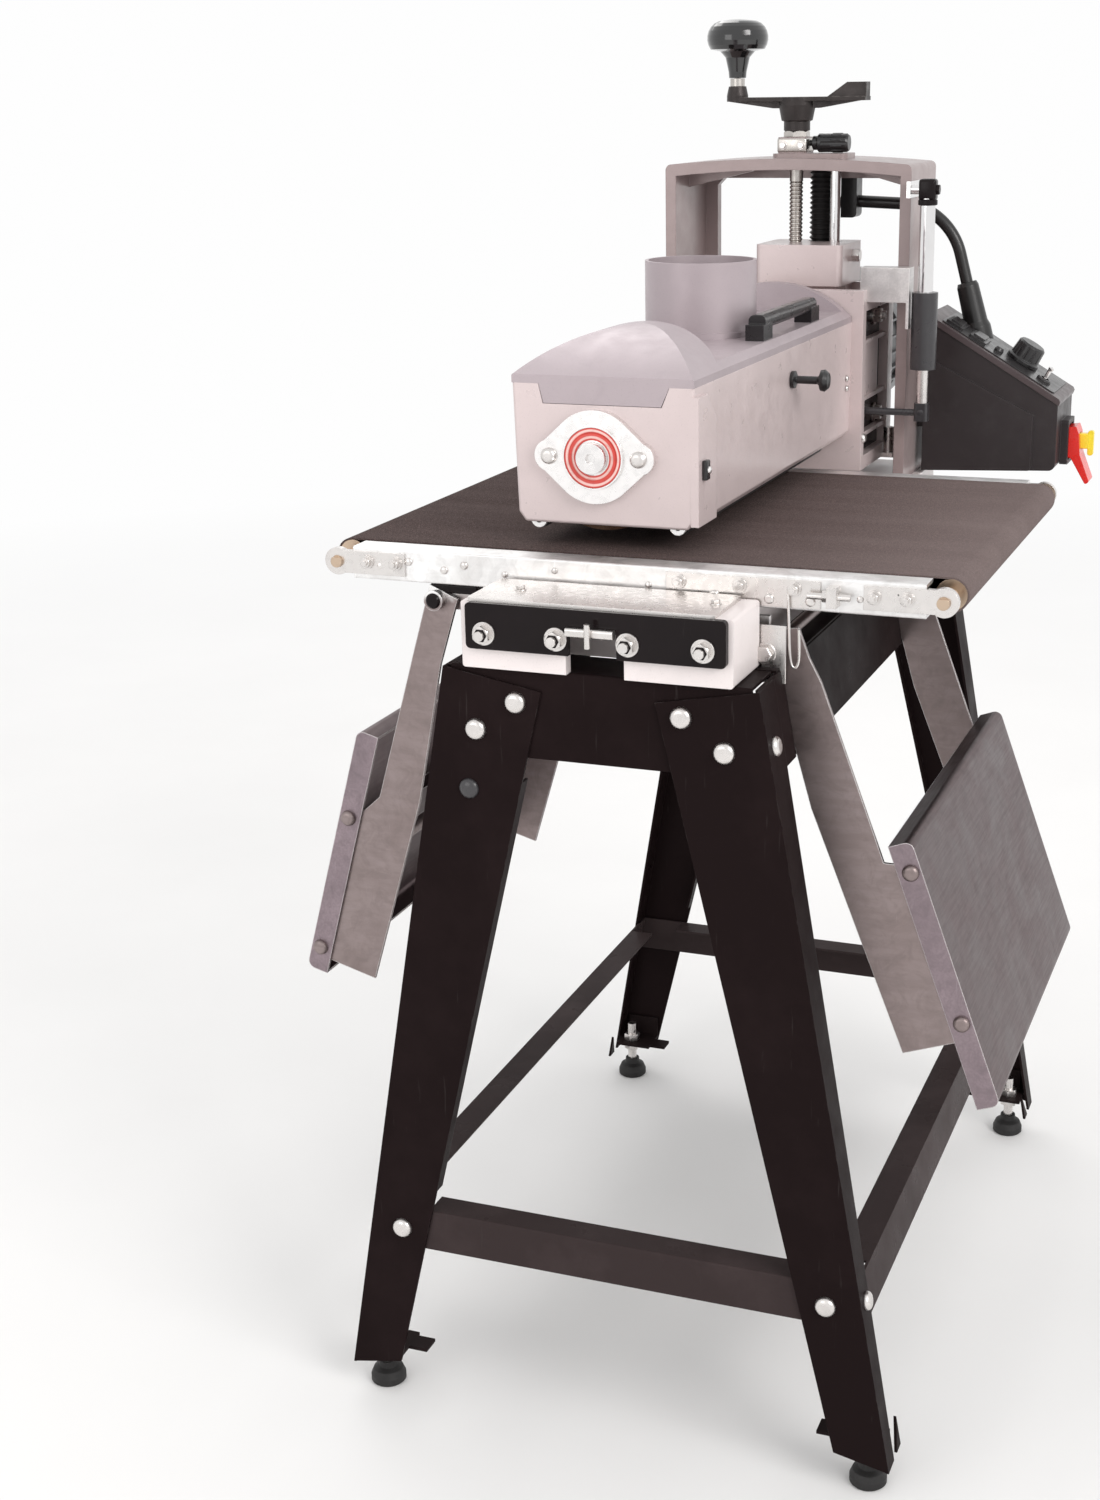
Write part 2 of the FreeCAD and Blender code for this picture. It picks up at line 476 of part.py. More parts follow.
def arch():
    parts = {}
    flange_t = 11.0
    outer = round_along(arch_band(0, ARCH_X0, ARCH_X1), X_AXIS, 6, lambda c: c.z > 0)
    shell = outer.cut(arch_band(flange_t, ARCH_X0 - 1, ARCH_X1 + 1))
    web_x0 = ARCH_X1 - 12
    web = arch_band(3, web_x0, ARCH_X1)
    opening_y = (-104.0, 102.0)
    corner = 7.0
    soffit = 191.0
    window = plate_yz([(opening_y[0], ARCH_FOOT_TOP - 1), (opening_y[1], ARCH_FOOT_TOP - 1),
                       (opening_y[1], soffit - corner), (opening_y[1] - corner, soffit),
                       (opening_y[0] + corner, soffit), (opening_y[0], soffit - corner)],
                      web_x0 - 1, ARCH_X1 + 1)
    web = web.cut(window)
    wall = ARCH_Y1 - flange_t
    gussets = [plate_yz([(wall + 1, 201), (wall - 72, 202.5), (wall - 68, 200), (wall + 1, 184)],
                        ARCH_X0 + 44, ARCH_X0 + 52)]
    wall = ARCH_Y0 + flange_t
    gussets.append(plate_yz([(wall - 1, 201), (wall + 60, 202.5), (wall + 56, 200), (wall - 1, 184)],
                            ARCH_X0 + 44, ARCH_X0 + 52))
    boss = round_along(block(SCREW_X - 22, SCREW_X + 22, -58, 21, ARCH_TOP - 4, ARCH_CREST + 4), Z_AXIS, 8)
    solid = fuse([shell, web, boss] + gussets)
    bore = rod((SCREW_X, 0, 150), (SCREW_X, 0, 240), SCREW_R + RUN)
    solid = solid.cut(bore)
    for x, y, r in (GUIDE_A, GUIDE_B):
        solid = solid.cut(rod((x, y, 150), (x, y, ARCH_TOP - 2), r))
    frame_casting = solid

    rods = []
    for x, y, r in (GUIDE_A, GUIDE_B):
        rods.append(rod((x, y, ARCH_FOOT_TOP), (x, y, ARCH_TOP - 2), r))
    parts["guide_rods"] = group(rods)

    folds = []
    bellows_low = 60.0
    bellows_high = ARCH_SOFFIT
    pitch = 5.0
    count = int((bellows_high - bellows_low) / pitch)
    for i in range(count):
        folds += [(BELLOWS_R - 2.6, i * pitch), (BELLOWS_R, (i + 0.5) * pitch)]
    folds += [(BELLOWS_R - 2.6, count * pitch), (GUIDE_B[2] + 0.4, count * pitch), (GUIDE_B[2] + 0.4, 0)]
    parts["rod_bellows"] = lathe(folds, (GUIDE_B[0], GUIDE_B[1], bellows_low), Z_AXIS)

    top = ARCH_CREST + 4
    block_h = 16.0
    bearing = round_along(block(SCREW_X - 16, SCREW_X + 16, -14, 16, top, top + block_h), Z_AXIS, 3)
    bearing = bearing.cut(rod((SCREW_X, 0, top - 1), (SCREW_X, 0, top + block_h + 1), SCREW_R + RUN))
    bearing = bearing.cut(rod((SCREW_X, -20, top + 10), (SCREW_X, -8.5, top + 10), 3 + RUN))
    parts["arch_frame"] = group([frame_casting, bearing])

    thread_low = 78.0
    ridge = [(0, 0)]
    thread_top = 190.0
    pitch = 4.0
    for i in range(int((thread_top - thread_low) / pitch)):
        h = i * pitch
        ridge += [(SCREW_R - 1.0, h), (SCREW_R, h + 1), (SCREW_R, h + 2.4), (SCREW_R - 1.0, h + 3.4)]
    ridge += [(SCREW_R, thread_top - thread_low), (SCREW_R, top + block_h + 36 - thread_low),
              (0, top + block_h + 36 - thread_low)]
    screw = lathe(ridge, (SCREW_X, 0, thread_low), Z_AXIS)
    collar_z = top + block_h + 0.3
    nut = hexagon((SCREW_X, 0, collar_z), Z_AXIS, 24, 6)
    screw = fuse([screw, nut])

    hub_z = collar_z + 6
    profile = [(SCREW_R, 0), (13.5, 0), (13.5, 9), (16, 10), (19, 25), (19, 29), (SCREW_R, 29)]
    hub = lathe(profile, (SCREW_X, 0, hub_z), Z_AXIS)
    arm_top = hub_z + 33
    reach = 64.0
    web = plate_yz([(reach + 8, arm_top), (-73, arm_top), (-73, arm_top - 3), (-24, arm_top - 11),
                    (24, arm_top - 11), (reach + 8, arm_top - 4)], SCREW_X - 5, SCREW_X + 5)
    flat = plate_xy([(SCREW_X - 9, reach), (SCREW_X - 15, 12), (SCREW_X - 15, -14), (SCREW_X - 11, -74),
                     (SCREW_X + 11, -74), (SCREW_X + 15, -14), (SCREW_X + 15, 12), (SCREW_X + 9, reach)],
                    arm_top - 4, arm_top)
    eye = rod((SCREW_X, reach, arm_top - 4), (SCREW_X, reach, arm_top + 2), 11)
    boss = Part.makeCone(11, 9, 9, V(SCREW_X, reach, arm_top + 2), Z_AXIS)
    fin = plate_yz([(-32, arm_top - 1), (-54, arm_top + 14), (-74, arm_top + 14), (-74, arm_top - 3)],
                   SCREW_X - 8, SCREW_X + 8)
    cap = rod((SCREW_X, 0, hub_z + 27), (SCREW_X, 0, arm_top), 19)
    arm = fuse([hub, cap, web, flat, eye, boss, fin])
    screw_hole = rod((SCREW_X, 0, hub_z - 1), (SCREW_X, 0, top + block_h + 36), SCREW_R)
    parts["crank_arm"] = arm.cut(screw_hole)

    knob_z = arm_top + 11
    stud_profile = [(0, 0), (7.5, 0), (7.5, 7.8), (3.2, 7.8), (3.2, 40), (0, 40)]
    stud = lathe(stud_profile, (SCREW_X, reach, knob_z), Z_AXIS)
    parts["lead_screw"] = group([screw, stud])

    seat = knob_z + 8.2
    stem = [(3.2 + RUN, 0), (8.8, 0), (9.3, 6), (12.5, 20), (18, 26)]
    bulb = []
    for i in range(9):
        a = math.radians(-40 + 130 * i / 8)
        bulb.append((16 + 15.5 * math.cos(a), 39 + 17 * math.sin(a)))
    bulb[-1] = (16.0, 56.0)
    dome = [(9.0, 57.0), (0, 57.4), (0, 32.5), (3.2 + RUN, 32.5)]
    parts["crank_knob"] = lathe(stem + bulb + dome, (SCREW_X, reach, seat), Z_AXIS)

    lever = lathe([(0, 0), (3, 0), (3, 7), (7, 9), (7, 13), (9.3, 15), (9.3, 44), (7.5, 46.5), (0, 46.5)],
                  (SCREW_X, -9, top + 10), V(0, -1, 0))
    for i in range(8):
        a = math.radians(45 * i)
        gx = SCREW_X + 11.1 * math.cos(a)
        gz = top + 10 + 11.1 * math.sin(a)
        groove = rod((gx, -27, gz), (gx, -57, gz), 2.6)
        lever = lever.cut(groove)
    parts["lock_knob"] = lever
    return parts


# ---- gas spring ---------------------------------------------------------------------------------
def gas_spring():
    parts = {}
    x = GAS_X
    y = GAS_Y
    eye = round_along(block(x - 6, x + 6, y - 7, y + 7, 176, 194), Y_AXIS, 4)
    anchor = block(x - 6, ARCH_X0 + 25, ARCH_Y0 - 4, ARCH_Y0, 177, 193)
    stud = rod((x, y + 6, 185), (x, ARCH_Y0 - 3, 185), 4.5)
    stem = rod((x, y, 74.6), (x, y, 177), 7.6)
    tail = rod((x, y, 62), (x, y, 75), 3.5)
    parts["gas_spring_rod"] = fuse([eye, stud, anchor, stem, tail])

    tube = rod((x, y, 10), (x, y, 86), 13).cut(rod((x, y, 13), (x, y, 87), 7.6 + RUN))
    tube = tube.cut(rod((x, y, 9), (x, y, 14), GAS_END_R))
    socket = round_along(block(x - 7, x + 7, y - 7, y + 7, -42, -24), Z_AXIS, 3)
    pin = rod((x, y + 6, -34), (x, GIB_Y + 4, -34), 3.5)
    parts["gas_spring_cylinder"] = group([tube, fuse([socket, pin])])
    return parts


# ---- sanding head -------------------------------------------------------------------------------
def head():
    parts = {}
    section = [(HEAD_Y1, SEAM_Z), (HEAD_Y1 - 3, HEAD_Z0 + 8), (HEAD_Y1 - 9, HEAD_Z0), (HEAD_Y0 + 6, HEAD_Z0),
               (HEAD_Y0 + 1, HEAD_Z0 + 6), (HEAD_Y0, SEAM_Z)]
    body = plate_yz(section, 0, HEAD_L)
    rim = [e for e in body.Edges if e.CenterOfMass.x < 0.1 and e.CenterOfMass.z < SEAM_Z - 1]
    body = body.makeFillet(3.0, rim)
    body = round_along(body, X_AXIS, 3.0, lambda c: c.z < SEAM_Z - 1)
    cavity = block(8, HEAD_L - 10, HEAD_Y0 + WALL, HEAD_Y1 - WALL - 1.5, HEAD_Z0 - 1, SEAM_Z + 1)
    body = body.cut(cavity)
    end_cap = plate_xz([(0, HEAD_Z0 + 3), (47, HEAD_Z0 + 3), (48, 28), (24, 50), (0, 50)],
                       HEAD_Y0 - 4, HEAD_Y0 + 3)
    notch = plate_yz([(50, SEAM_Z + 1), (46, 41), (-56, 41), (-63, SEAM_Z + 1)], -1, 9)
    ears = []
    for x in (60, 400):
        lug = fuse([block(x, x + 26, HEAD_Y1 - 2, HEAD_Y1 + 9, 44, 54),
                    rod((x, HEAD_Y1 + 9, 49), (x + 26, HEAD_Y1 + 9, 49), 5)])
        ears.append(lug.cut(rod((x - 1, HEAD_Y1 + 9, 49), (x + 27, HEAD_Y1 + 9, 49), 2.5)))
    body = fuse([body, end_cap] + ears).cut(notch)
    body = body.cut(rod((-1, 0, 0), (9, 0, 0), 26.05))
    body = body.cut(rod((HEAD_L - 11, 0, 0), (HEAD_L + 1, 0, 0), 26.05))
    parts["head_casting"] = body

    flange = []
    centre = rod((-7, 0, 0), (0, 0, 0), 38)
    for y in (-38.5, 38.5):
        tip = rod((-7, y, 0), (0, y, 0), 13)
        flange.append(tip)
    wing = plate_yz([(-43.0, 12.2), (-24.0, 29.5), (24.0, 29.5), (43.0, 12.2), (43.0, -12.2), (24.0, -29.5),
                     (-24.0, -29.5), (-43.0, -12.2)], -7, 0)
    housing = rod((-10, 0, 0), (9, 0, 0), 26)
    unit = fuse([centre, wing, housing] + flange)
    unit = unit.cut(rod((-12, 0, 0), (-8, 0, 0), 24.6)).cut(rod((-12, 0, 0), (12, 0, 0), SHAFT_R + RUN))
    bearings = [unit]
    seal = rod((-9.6, 0, 0), (-8, 0, 0), 24.4).cut(rod((-12, 0, 0), (0, 0, 0), 14.5))
    for r in (18.0, 21.5):
        ring = rod((-11, 0, 0), (-9.1, 0, 0), r).cut(rod((-12, 0, 0), (0, 0, 0), r - 1.4))
        seal = seal.cut(ring)
    parts["bearing_seal"] = seal
    inner = rod((HEAD_L - 14, 0, 0), (HEAD_L, 0, 0), 26)
    flange_in = rod((HEAD_L - 20, 0, 0), (HEAD_L - 14, 0, 0), 36)
    far_unit = fuse([inner, flange_in])
    bearings.append(far_unit.cut(rod((HEAD_L - 30, 0, 0), (HEAD_L + 2, 0, 0), SHAFT_R + RUN)))
    parts["drum_bearings"] = group(bearings)

    screws = [dome_bolt((-7, y, 0), V(-1, 0, 0), 7.0, 5.0) for y in (-38.5, 38.5)]
    for z in (3, -7):
        screws.append(dome_bolt((488, HEAD_Y0, z), V(0, -1, 0), 3.2, 2.4))
    parts["head_screws"] = group(screws)

    drum = rod((DRUM_X0, 0, 0), (DRUM_X0 + DRUM_L, 0, 0), DRUM_R)
    bore = rod((DRUM_X0 + 8, 0, 0), (DRUM_X0 + DRUM_L - 8, 0, 0), DRUM_R - 6)
    hub_bore = rod((DRUM_X0 - 1, 0, 0), (DRUM_X0 + DRUM_L + 1, 0, 0), SHAFT_R)
    slot = plate_yz([(-4, 40), (4, 40), (10, 70), (6, 70)], DRUM_X0 - 1, DRUM_X0 + 34)
    parts["sanding_drum"] = drum.cut(bore).cut(hub_bore).cut(slot)
    shaft = rod((-15, 0, 0), (SCREW_X - 40, 0, 0), SHAFT_R)
    coupling = rod((HEAD_L + 4, 0, 0), (CARRIAGE_X1 + 7, 0, 0), 14)
    tip = rod((-16, 0, 0), (-12, 0, 0), 4)
    parts["drum_shaft"] = fuse([shaft, coupling]).cut(tip)
    return parts


def cover():
    parts = {}
    y_mid = (HEAD_Y0 + HEAD_Y1) / 2
    edge_z = 63.0

    def crown_prism(offset, x0, x1, low):
        arc = Part.Arc(V(x0, HEAD_Y1 - offset, edge_z - offset), V(x0, y_mid, COVER_APEX - offset),
                       V(x0, HEAD_Y0 + offset, edge_z - offset)).toShape()
        a = V(x0, HEAD_Y0 + offset, low)
        b = V(x0, HEAD_Y1 - offset, low)
        lines = [Part.makeLine(V(x0, HEAD_Y0 + offset, edge_z - offset), a), Part.makeLine(a, b),
                 Part.makeLine(b, V(x0, HEAD_Y1 - offset, edge_z - offset))]
        return Part.Face(Part.Wire([arc] + lines)).extrude(V(x1 - x0, 0, 0))

    def nose_cutter(offset, reach=125.0):
        start = V(offset, -200, edge_z + 1 - offset)
        mid = V(reach * 0.42, -200, COVER_APEX - 9 - offset)
        end = V(reach + offset, -200, COVER_APEX + 1 - offset)
        arc = Part.Arc(start, mid, end).toShape()
        far = V(HEAD_L + 5, -200, COVER_APEX + 1 - offset)
        low = V(HEAD_L + 5, -200, 0)
        near = V(offset, -200, 0)
        lines = [Part.makeLine(end, far), Part.makeLine(far, low), Part.makeLine(low, near),
                 Part.makeLine(near, start)]
        return Part.Face(Part.Wire([arc] + lines)).extrude(V(0, 400, 0))

    outer = crown_prism(0, 0, HEAD_L - 2, SEAM_Z).common(nose_cutter(0))
    dome_x = 34.0
    dome_r = 84.0
    deck_z = 69.0
    well = block(20, HEAD_L - 16, HEAD_Y0 + 5, HEAD_Y1 - 8, deck_z, 120)
    keep = rod((dome_x, y_mid, 0), (dome_x, y_mid, 130), dome_r)
    keep = fuse([keep, block(-10, dome_x, -120, 120, 0, 130)])
    well = well.cut(keep)
    outer = outer.cut(well)
    inner = crown_prism(4, 4, HEAD_L - 7, SEAM_Z - 2).common(nose_cutter(4))
    inner_well = block(12, HEAD_L - 6, HEAD_Y0, HEAD_Y1, deck_z - 4, 120)
    inner_keep = rod((dome_x, y_mid, 0), (dome_x, y_mid, 130), dome_r - 4)
    inner_keep = fuse([inner_keep, block(-10, dome_x, -120, 120, 0, 130)])
    inner = inner.cut(inner_well.cut(inner_keep))
    shell = outer.cut(inner)
    lip = plate_yz([(49.4, SEAM_Z), (45.4, 41.4), (-55.4, 41.4), (-62.4, SEAM_Z)], 0, 4)
    shell = fuse([shell, lip])
    port = rod((PORT_X, 0, deck_z - 2), (PORT_X, 0, PORT_TOP), PORT_R)
    collar = rod((PORT_X, 0, deck_z - 2), (PORT_X, 0, deck_z + 5), PORT_R + 3)
    shell = fuse([shell, port, collar])
    shell = shell.cut(rod((PORT_X, 0, SEAM_Z - 5), (PORT_X, 0, PORT_TOP + 1), PORT_R - 3))
    knuckles = []
    for x in (60, 400):
        leaf = block(x + 27, x + 40, HEAD_Y1 - 3, HEAD_Y1 + 9, SEAM_Z, SEAM_Z + 4)
        drop = block(x + 27, x + 40, HEAD_Y1 + 5, HEAD_Y1 + 13, 49, SEAM_Z + 4)
        pin = rod((x + 0.5, HEAD_Y1 + 9, 49), (x + 40, HEAD_Y1 + 9, 49), 2.5 - RUN)
        barrel = rod((x + 27, HEAD_Y1 + 9, 49), (x + 40, HEAD_Y1 + 9, 49), 5)
        knuckles += [leaf, drop, pin, barrel]
    parts["dust_cover"] = fuse([shell] + knuckles)

    y = -66.0
    x0 = 222.0
    x1 = 410.0
    posts = [block(x, x + 28, y - 8.5, y + 8.5, deck_z, deck_z + 14) for x in (x0, x1 - 28)]
    grip = round_along(block(x0 + 8, x1 - 8, y - 8, y + 8, deck_z + 9, deck_z + 22), X_AXIS, 5.5)
    parts["cover_handle"] = fuse([grip] + posts)

    knob_x = 285.0
    parts["latch_knob"] = lathe([(0, 0), (8, 0), (8, 3), (3.6, 5), (3.6, 24), (6, 27), (9.5, 27.5), (10, 31),
                                 (7, 34.5), (0, 35.5)], (knob_x, HEAD_Y0 - 0.3, 28), V(0, -1, 0))
    return parts


def carriage():
    parts = {}
    x0 = HEAD_L
    x1 = CARRIAGE_X1
    low = -93.0
    y0 = -95.0
    plate = block(x0, x0 + 12, y0, 72, low, 88)
    cheeks = [block(x0, x1, y0, GIB_Y, low, 76), block(x0, x1, 62, 72, -70, 76)]
    rear = block(x1 - 12, x1, y0, 72, -80, 86)
    shelves = [block(x0, x1, y0, 72, z, z + 9) for z in (-88, 67)]
    tower = round_along(block(544, 630, -61, 30, 88, 129), Z_AXIS, 6)
    neck = block(568, 630, -52, 24, 74, 90)
    boss = rod((x0 + 10, 0, 0), (x0 + 13, 0, 0), 40)
    window = block(x0 + 12, x1 - 20, y0 - 1, GIB_Y + 1, -79, 67)
    ribs = [block(x0 + 11, x1 - 19, y0 + 2, GIB_Y, z, z + 4) for z in (33, -24, -60.5)]
    ribs.append(block(x0 + 11, x0 + 82, y0 + 4, GIB_Y, -21, 34))
    cheeks[0] = cheeks[0].cut(window)
    solid = fuse([plate, rear, tower, neck, boss] + cheeks + shelves + ribs)
    solid = solid.cut(rod((x0 - 1, 0, 0), (x1 + 1, 0, 0), 26.3))
    solid = solid.cut(rod((SCREW_X, 0, 55), (SCREW_X, 0, 135), SCREW_R + RUN))
    x, y, r = GUIDE_A
    solid = solid.cut(rod((x, y, -110), (x, y, 135), r + RUN))
    x, y, r = GUIDE_B
    solid = solid.cut(rod((x, y, -110), (x, y, 58), r + RUN))
    parts["carriage_casting"] = solid.cut(rod((x, y, 56), (x, y, 135), BELLOWS_R + 0.6))

    gib = block(x0 + 12, x1 - 20, GIB_Y, GIB_Y + 6, -79, 67)
    parts["carriage_gib"] = gib.cut(rod((GAS_X, GIB_Y - 1, -34), (GAS_X, GIB_Y + 4, -34), 3.5))

    out = V(0, -1, 0)
    bolts = [nut_and_washer((x, GIB_Y, z), out, 14.0, 4.5) for x, z in ((590, 56), (596, -45.6))]
    stop = rod((604, y0 - 6, -89), (604, y0 - 6, -62), 5.5)
    seat = block(594, 614, y0 - 13, y0, low, -88)
    bolts.append(fuse([stop, seat]))
    bolts.append(dome_bolt((x0 + 6, y0, -60), out, 5.0, 4.0))
    low_stem = rod((GAS_X, GAS_Y, -24), (GAS_X, GAS_Y, 13), GAS_END_R)
    bolts.append(low_stem.cut(rod((GAS_X, GAS_Y, 0.5), (GAS_X, GAS_Y, 14), 3.5 + RUN)))
    bolts.append(hexagon((SCREW_X + 2, -61, 116), out, 12, 8))
    parts["carriage_bolts"] = group(bolts)

    web_x = x0 + 12
    parts["pointer_bracket"] = fuse([block(web_x, web_x + 3, -138, -88, 76, 107),
                                     block(web_x, web_x + 20, -138, -88, 107, 110),
                                     block(web_x, web_x + 20, -138, -135, 50, 110)])

    m0 = CARRIAGE_X1
    motor = rod((m0 + 5, 0, 0), (m0 + 150, 0, 0), 70)
    nose = rod((m0, 0, 0), (m0 + 6, 0, 0), 60)
    fins = []
    for i in range(28):
        fin = block(m0 + 16, m0 + 142, 68, 76, -1.2, 1.2)
        fin.rotate(V(0, 0, 0), X_AXIS, 360 * i / 28)
        fins.append(fin)
    motor = fuse([motor, nose] + fins).cut(rod((m0 - 1, 0, 0), (m0 + 10, 0, 0), 15))
    parts["drum_motor"] = motor
    fan_x = m0 + 150
    shroud = rod((fan_x - 6, 0, 0), (fan_x + 42, 0, 0), 74).cut(rod((fan_x - 7, 0, 0), (fan_x + 39, 0, 0), 70))
    for ring in (22, 34, 46, 58):
        for i in range(int(ring * 0.62)):
            a = 2 * math.pi * i / int(ring * 0.62)
            y = ring * math.cos(a)
            z = ring * math.sin(a)
            shroud = shroud.cut(rod((fan_x + 36, y, z), (fan_x + 45, y, z), 2.4))
    junction = round_along(block(m0 + 48, m0 + 108, -38, 38, 60, 92), Z_AXIS, 6)
    parts["motor_covers"] = group([shroud, junction.cut(motor)])
    return parts


def pressure_rollers():
    parts = {}
    for name, y in (("infeed", PRESS_IN_Y), ("outfeed", PRESS_OUT_Y)):
        hangers = []
        for x in (9, 437):
            plate = block(x, x + 4, y - 7, y + 7, PRESS_Z, -22)
            eye = rod((x, y, PRESS_Z), (x + 4, y, PRESS_Z), 7)
            hangers.append(fuse([plate, eye]).cut(rod((x - 1, y, PRESS_Z), (x + 5, y, PRESS_Z), 3 + RUN)))
        parts["pressure_hanger_" + name] = group(hangers)
        barrel = rod((17, y, PRESS_Z), (433, y, PRESS_Z), PRESS_R)
        pin = rod((9.5, y, PRESS_Z), (440.5, y, PRESS_Z), 3)
        parts["pressure_roller_" + name] = fuse([barrel, pin])
    return parts


# ---- folding tables -----------------------------------------------------------------------------
def hang(shape, table):
    """Turn a piece modelled with its table raised level down to the way it hangs."""
    angle = -table["side"] * (90 - table["hang"])
    shape.rotate(V(0, table["y"], table["z"]), X_AXIS, angle)
    return shape


def table_pieces(table, outline):
    side = table["side"]

    def at(u, w):
        return (table["y"] + side * u, table["z"] + w)

    pivot_y, pivot_z = at(0, 0)
    arms = []
    for x in ARM_PLANES:
        arm = plate_yz([at(u, w) for u, w in outline], x, x + ARM_T)
        arm = arm.cut(rod((x - 1, pivot_y, pivot_z), (x + ARM_T + 1, pivot_y, pivot_z), 5 + RUN))
        arms.append(arm)
    tube = rod((ARM_PLANES[0] + ARM_T, *at(*table["tube"])), (ARM_PLANES[1], *at(*table["tube"])), 6)
    arms.append(tube)
    bolts = []
    for offset in table["bolts"]:
        for x, way in ((TABLE_X0, -1), (TABLE_X1, 1)):
            y, z = at(table["start"] + offset, table["top"] - 9)
            bolts.append(dome_bolt((x, y, z), V(way, 0, 0), 7.0, 4.5))

    u0 = table["start"]
    u1 = u0 + table["length"]
    top = table["top"]
    y_a, z_top = at(u0, top)
    y_b, z_top = at(u1, top)
    low = min(y_a, y_b)
    high = max(y_a, y_b)
    slab = block(TABLE_X0, TABLE_X1, low, high, z_top - 20, z_top)
    slab = round_along(slab, X_AXIS, 7.0, lambda c: c.z > z_top - 1)
    inside = block(TABLE_X0 + SHEET, TABLE_X1 - SHEET, low + 2, high - 2, z_top - 22, z_top - 2)
    inside = round_along(inside, X_AXIS, 5.0, lambda c: c.z > z_top - 3)
    panel = slab.cut(inside)
    stiffener = block(TABLE_X0 + 60, TABLE_X1 - 60, (low + high) / 2 - 15, (low + high) / 2 + 15,
                      z_top - 14, z_top - 2)
    hollow = block(TABLE_X0 + 59, TABLE_X1 - 59, (low + high) / 2 - 13, (low + high) / 2 + 13,
                   z_top - 12, z_top - 1)
    panel = fuse([panel, stiffener.cut(hollow)])
    return [hang(s, table) for s in (group(arms + bolts), panel)]


def tables():
    parts = {}
    infeed_outline = [(-18, -5), (8, -18), (22, 0), (132, -8), (350, -2), (350, 56), (198, 56), (190, 35),
                      (36, 34), (14, 31), (-11, 31)]
    outfeed_outline = [(-6, -18), (54, -16), (181, -25), (360, -21), (360, 33), (223, 33), (190, 12), (48, 10),
                       (-10, 9)]
    for name, table, outline in (("infeed", INFEED, infeed_outline), ("outfeed", OUTFEED, outfeed_outline)):
        arms, panel = table_pieces(table, outline)
        parts[name + "_arms"] = arms
        parts[name + "_table"] = panel

    hangers = []
    base_side = {-1: STAND_Y - BASE_HALF + 16, 1: STAND_Y + BASE_HALF - 16}
    far_x = ARM_PLANES[1]
    for table in (INFEED, OUTFEED):
        side = table["side"]
        y = table["y"]
        z = table["z"]
        wall = base_side[side]
        pin = rod((TABLE_X0 - 3, y, z), (far_x + ARM_T + 3, y, z), 5)
        head = rod((TABLE_X0 - 5, y, z), (TABLE_X0 + 2.2, y, z), 8.5)
        pieces = [pin, head]
        for x in (-36, far_x - 9):
            tab = block(x, x + 5, min(wall, y), max(wall, y), max(z - 9, STAND_TOP + 3), BASE_DECK - 1)
            eye = rod((x, y, z), (x + 5, y, z), 9)
            pieces += [tab, eye]
        if side < 0:
            pieces = [p.cut(block(-60, 400, -300, wall + 400, RAIL_BOTTOM - 1, 0)) for p in pieces]
        hangers.append(fuse(pieces))
    parts["table_hangers"] = group(hangers)
    return parts


# ---- controls -----------------------------------------------------------------------------------
def panel_z(y):
    return BOX_TOP + BOX_SLOPE * (y - BOX_BACK)


